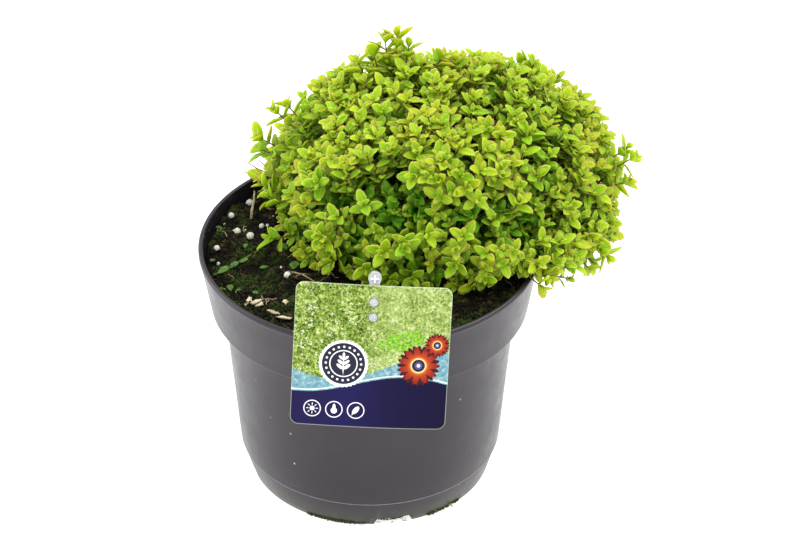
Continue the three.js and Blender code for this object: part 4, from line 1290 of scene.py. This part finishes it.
# How far down a shoot its leaves keep their lit colour before they fade to painted shade and the older
# leaves' greener colour, for shoots at each of two heights: higher shoots stay lit further down, as painted
# light from above.
FADE = (14.0, 32.0)
FADE_HEIGHTS = (125.0, 190.0)
# How much painted shade darkens the leaves where the cushion has a hollow, in its inner layer and in the
# others.
INNER_SHADE = 0.7
HOLLOW_SHADE = 0.15
SHOOT_BEND = 22
# How much of a shoot's way out it keeps to the side and to the back, how far up and forwards it is drawn, and
# how much it wanders.
SIDEWAYS = 0.6
BACKWARDS = 0.35
UPWARDS = 0.7
FORWARDS = 0.28
WANDER = 0.2


class Foliage:
    """The leaves and twigs of one stem."""

    def __init__(self):
        self.leaves = {}
        self.twigs = []

    def add_leaf(self, fine, rng, matrix, tone):
        kind = rng.randrange(len(LEAVES[fine]))
        self.leaves.setdefault((fine, kind), []).append((matrix, tone))


def leaf_matrix(base, axis, turn, rise, length, rng):
    """A leaf's place on a shoot: turned round its axis, risen towards its tip, and a little askew."""
    level = np.array([1.0, 0.0, 0.0]) if abs(axis[2]) > 0.9 else UP
    side = unit(np.cross(axis, level))
    out = math.cos(turn) * side + math.sin(turn) * np.cross(axis, side)
    along = math.cos(rise) * out + math.sin(rise) * axis
    face = math.cos(rise) * axis - math.sin(rise) * out
    across = np.cross(face, along)
    roll = rng.gauss(0, 0.16)
    rolled = math.cos(roll) * across + math.sin(roll) * face
    face = math.cos(roll) * face - math.sin(roll) * across
    return np.column_stack([along * length, rolled * length, face * length, base])


def grow_shoot(foliage, tip, axis, root, layer, brightness, rng):
    """A shoot: crossed pairs of leaves along a stalk that bends from its axis to its root."""
    first = rng.uniform(0, math.pi)
    size = rng.uniform(*layer.size)
    tone = rng.uniform(0.15, 0.85)
    warmth = rng.random()
    back = unit(root - tip)
    fade = float(np.interp(tip[2], FADE_HEIGHTS, FADE))
    for number, (down, share, rise) in enumerate(PAIRS[:layer.pairs]):
        lean = min(1.0, down / SHOOT_BEND)
        at = tip + (-(1 - lean) * axis + lean * back) * down
        direction = unit(axis * (1 - lean) - back * lean)
        # Painted shade down the shoot: the painted light fades with each pair, partly for shade inside the
        # cushion and partly for the older leaves' own greener colour.
        depth = brightness * max(0.0, 1.0 - (down / fade) ** 1.15)
        for side in (0, math.pi):
            turn = first + side + (number % 2) * math.pi / 2 + rng.gauss(0, 0.14)
            angle = math.radians(rise + rng.gauss(0, 7))
            matrix = leaf_matrix(at, direction, turn, angle, size * share * rng.uniform(0.88, 1.12), rng)
            end = matrix[:, 3] + matrix[:, 0]
            if end[2] < lowest_clear(end) or at[2] < lowest_clear(at):
                continue
            mine = min(1.0, max(0.0, tone + rng.gauss(0, 0.15)))
            colour = (mine, depth * rng.uniform(0.86, 1.0), warmth + rng.gauss(0, 0.15), 1.0)
            foliage.add_leaf(number < layer.fine, rng, matrix, colour)
            if number >= SIDE_PAIRS_FROM:
                turn += rng.uniform(-0.5, 0.5)
                small = leaf_matrix(at, direction, turn, SIDE_RISE, size * SIDE_SIZE, rng)
                # The small side leaves get a little more painted shade.
                foliage.add_leaf(False, rng, small, (mine, depth * 0.85, warmth, 1.0))
    add_twig(foliage, tip, axis, root, *((7, 5) if layer.fine else (4, 3)))


def add_twig(foliage, tip, axis, root, count, sides):
    """A thin twig from a stem's middle out to a shoot's tip."""
    bend = tip - unit(axis + 0.7 * unit(tip - root)) * np.linalg.norm(tip - root) * 0.4
    shares = np.linspace(0, 1, count)[:, None]
    path = (1 - shares) ** 2 * root + 2 * shares * (1 - shares) * bend + shares ** 2 * tip
    foliage.twigs.append(tube(path, np.linspace(0.7, 0.32, count), sides))


def add_woody_stem(foliage, direction, middle):
    """The stem from its hole in the soil, over the rim's height and into the cushion."""
    foot = CROWN + np.array([STEM_SPREAD * direction[0], STEM_SPREAD * direction[1], 0])
    ground = soil_height(foot[0], foot[1])
    bend = foot + (middle - foot) * 0.45
    bend[2] = max(bend[2], POT_HEIGHT + 4.2)
    low, high = (foot[0], foot[1], ground - 8), (foot[0], foot[1], ground + 1.5)
    path = (low, high, foot * 0.62 + bend * 0.38 + UP * 2.0, bend, middle)
    foliage.twigs.append(tube(path, (1.35, 1.35, 1.3, 1.2, 0.9), 9))


def growing_way(outward, rng):
    """The way a shoot points: out of the cushion, up and forwards, but less so to the sides and the back."""
    outward = unit(outward)
    outward[0] *= SIDEWAYS
    if outward[1] > 0:
        outward[1] *= BACKWARDS
    wander = np.array([rng.gauss(0, WANDER), rng.gauss(-FORWARDS, WANDER), 0])
    return unit(outward + UPWARDS * UP + wander)


def layer_at(hollow, rng):
    """The layer of a new shoot, which is more often a low one where the cushion has a hollow."""
    layer = rng.choices(LAYERS, [layer.share for layer in LAYERS])[0]
    if layer is OUTER and rng.random() < hollow:
        layer = LOWER
    if layer is LOWER and rng.random() < 0.5 * hollow:
        layer = INNER
    return layer


def grow_cushion():
    """Every stem's foliage: its woody stem, and the shoots whose tips lie in its share of the cushion."""
    rng = random.Random(SEEDS["foliage"])
    middles = [stem_middle(direction) for direction in STEM_DIRECTIONS]
    stems = [Foliage() for _ in STEM_DIRECTIONS]
    for foliage, direction, middle in zip(stems, STEM_DIRECTIONS, middles):
        add_woody_stem(foliage, direction, middle)
    for direction in spread_directions(SHOOT_COUNT, SHOOT_LOWEST, SHOOT_JITTER, rng):
        stem = nearest_stem(direction)
        surface = CROWN + direction * dome_reach(direction)
        hollow = hollow_strength(unit((surface - DOME_CENTRE) / DOME_HALF))
        layer = layer_at(hollow, rng)
        # Painted shade in the hollows, strongest for the inner layer.
        painted_shade = INNER_SHADE if layer is INNER else HOLLOW_SHADE
        brightness = layer.brightness * (1 - painted_shade * hollow)
        tip = surface - direction * rng.uniform(*layer.inset)
        tip[2] = max(tip[2], lowest_clear(tip) + 2.5)
        axis = growing_way(tip - middles[stem], rng)
        grow_shoot(stems[stem], tip, axis, middles[stem], layer, brightness, rng)
    for tips, lift in ((PROUD_TIPS, 0.35), (HANGING_TIPS, -0.15)):
        for tip in np.array(tips, float):
            stem = nearest_stem(tip - CROWN)
            axis = unit(unit(tip - middles[stem]) + lift * UP)
            grow_shoot(stems[stem], tip, axis, middles[stem], PROUD, 1.0, rng)
    return stems


def make_leaves(name, foliage, material, replaced):
    """One stem's leaves as one piece, with each point's place on its leaf and each leaf's tone, painted shade
    and warmth.
    """
    parts, places, tones = [], [], []
    for (fine, kind), leaves in sorted(foliage.leaves.items()):
        template, faces, template_places = LEAVES[fine][kind]
        parts.append(copies(template, faces, [matrix for matrix, _ in leaves]))
        places.append(np.tile(template_places, (len(leaves), 1)))
        tones.append(np.repeat([tone for _, tone in leaves], len(template), axis=0))
    made = mesh_object(name, *merged(parts), material)
    corners = np.zeros(len(made.data.loops), np.int32)
    made.data.loops.foreach_get("vertex_index", corners)
    uv = made.data.uv_layers.new(name="leaf")
    uv.data.foreach_set("uv", np.concatenate(places)[corners].astype(np.float32).ravel())
    tone = made.data.color_attributes.new("tone", "FLOAT_COLOR", "POINT")
    tone.data.foreach_set("color", np.concatenate(tones).astype(np.float32).ravel())
    place(made, "thyme", replaced)


def make_foliage(leaf, twig):
    for node, foliage in zip(STEM_NODES, grow_cushion()):
        number = node[-2:]
        make_leaves("thyme_leaves_" + number, foliage, leaf, node)
        place(mesh_object("thyme_twigs_" + number, *merged(foliage.twigs), twig), "thyme")


# Stage, light and camera

CAMERA_DISTANCE = 1754.5
CAMERA_HEIGHT = 1321.6
CAMERA_TILT = 0.6024
CAMERA_PAN = 0.0086
CAMERA_ROLL = 0.0023
# The focal length in pixels of a picture of this width.
CAMERA_FOCUS = 4280.5
PICTURE_WIDTH = 800
SENSOR = 36.0
# Each light: its place in metres, how wide it is and its power in watts.
LIGHTS = {
    "left": ((-1.2, 0.5, 0.8), 1.2, 12),
    "front": ((-0.4, -1.75, 0.5), 1.4, 9),
    "top": ((0.7, 0.2, 1.75), 1.8, 32),
}
LIGHTS_AIM = Vector((0.02, 0.02, 0.1))
SKY_STRENGTH = 1.14


def make_camera():
    """The camera, at the pictured viewing angle."""
    data = bpy.data.cameras.new("camera")
    data.sensor_width = SENSOR
    data.lens = CAMERA_FOCUS / PICTURE_WIDTH * SENSOR
    data.clip_start, data.clip_end = 0.1, 20
    camera = bpy.data.objects.new("camera", data)
    bpy.context.scene.collection.objects.link(camera)
    at = Matrix.Translation((0, -CAMERA_DISTANCE * MM, CAMERA_HEIGHT * MM))
    pan, roll = Matrix.Rotation(-CAMERA_PAN, 4, "Z"), Matrix.Rotation(CAMERA_ROLL, 4, "Z")
    camera.matrix_world = at @ pan @ Matrix.Rotation(math.pi / 2 - CAMERA_TILT, 4, "X") @ roll
    bpy.context.scene.camera = camera


def make_floor():
    shape = bmesh.new()
    bmesh.ops.create_grid(shape, x_segments=2, y_segments=2, size=4000)
    floor = bmesh_object("floor", shape, floor_material())


def add_light(name, at, size, power):
    """A square soft light that is aimed at the plant."""
    data = bpy.data.lights.new(name, "AREA")
    data.shape = "SQUARE"
    data.size = size
    data.energy = power
    light = bpy.data.objects.new(name, data)
    bpy.context.scene.collection.objects.link(light)
    light.location = at
    light.rotation_mode = "QUATERNION"
    light.rotation_quaternion = (LIGHTS_AIM - Vector(at)).to_track_quat("-Z", "Y")


def make_studio():
    world = bpy.data.worlds.new("studio")
    world.use_nodes = True
    background = world.node_tree.nodes["Background"]
    background.inputs["Color"].default_value = (1.0, 1.0, 1.0, 1.0)
    background.inputs["Strength"].default_value = SKY_STRENGTH
    bpy.context.scene.world = world
    for name, light in LIGHTS.items():
        add_light(name, *light)
    bpy.context.scene.view_settings.view_transform = "Standard"


def main():
    make_camera()
    make_floor()
    make_studio()
    make_pot(pot_material())
    make_soil(soil_material())
    make_soil_dressing()
    make_weeds()
    make_foot_moss()
    make_card(label_design())
    make_clip(clear_material())
    make_foliage(leaf_material(), twig_material())


main()
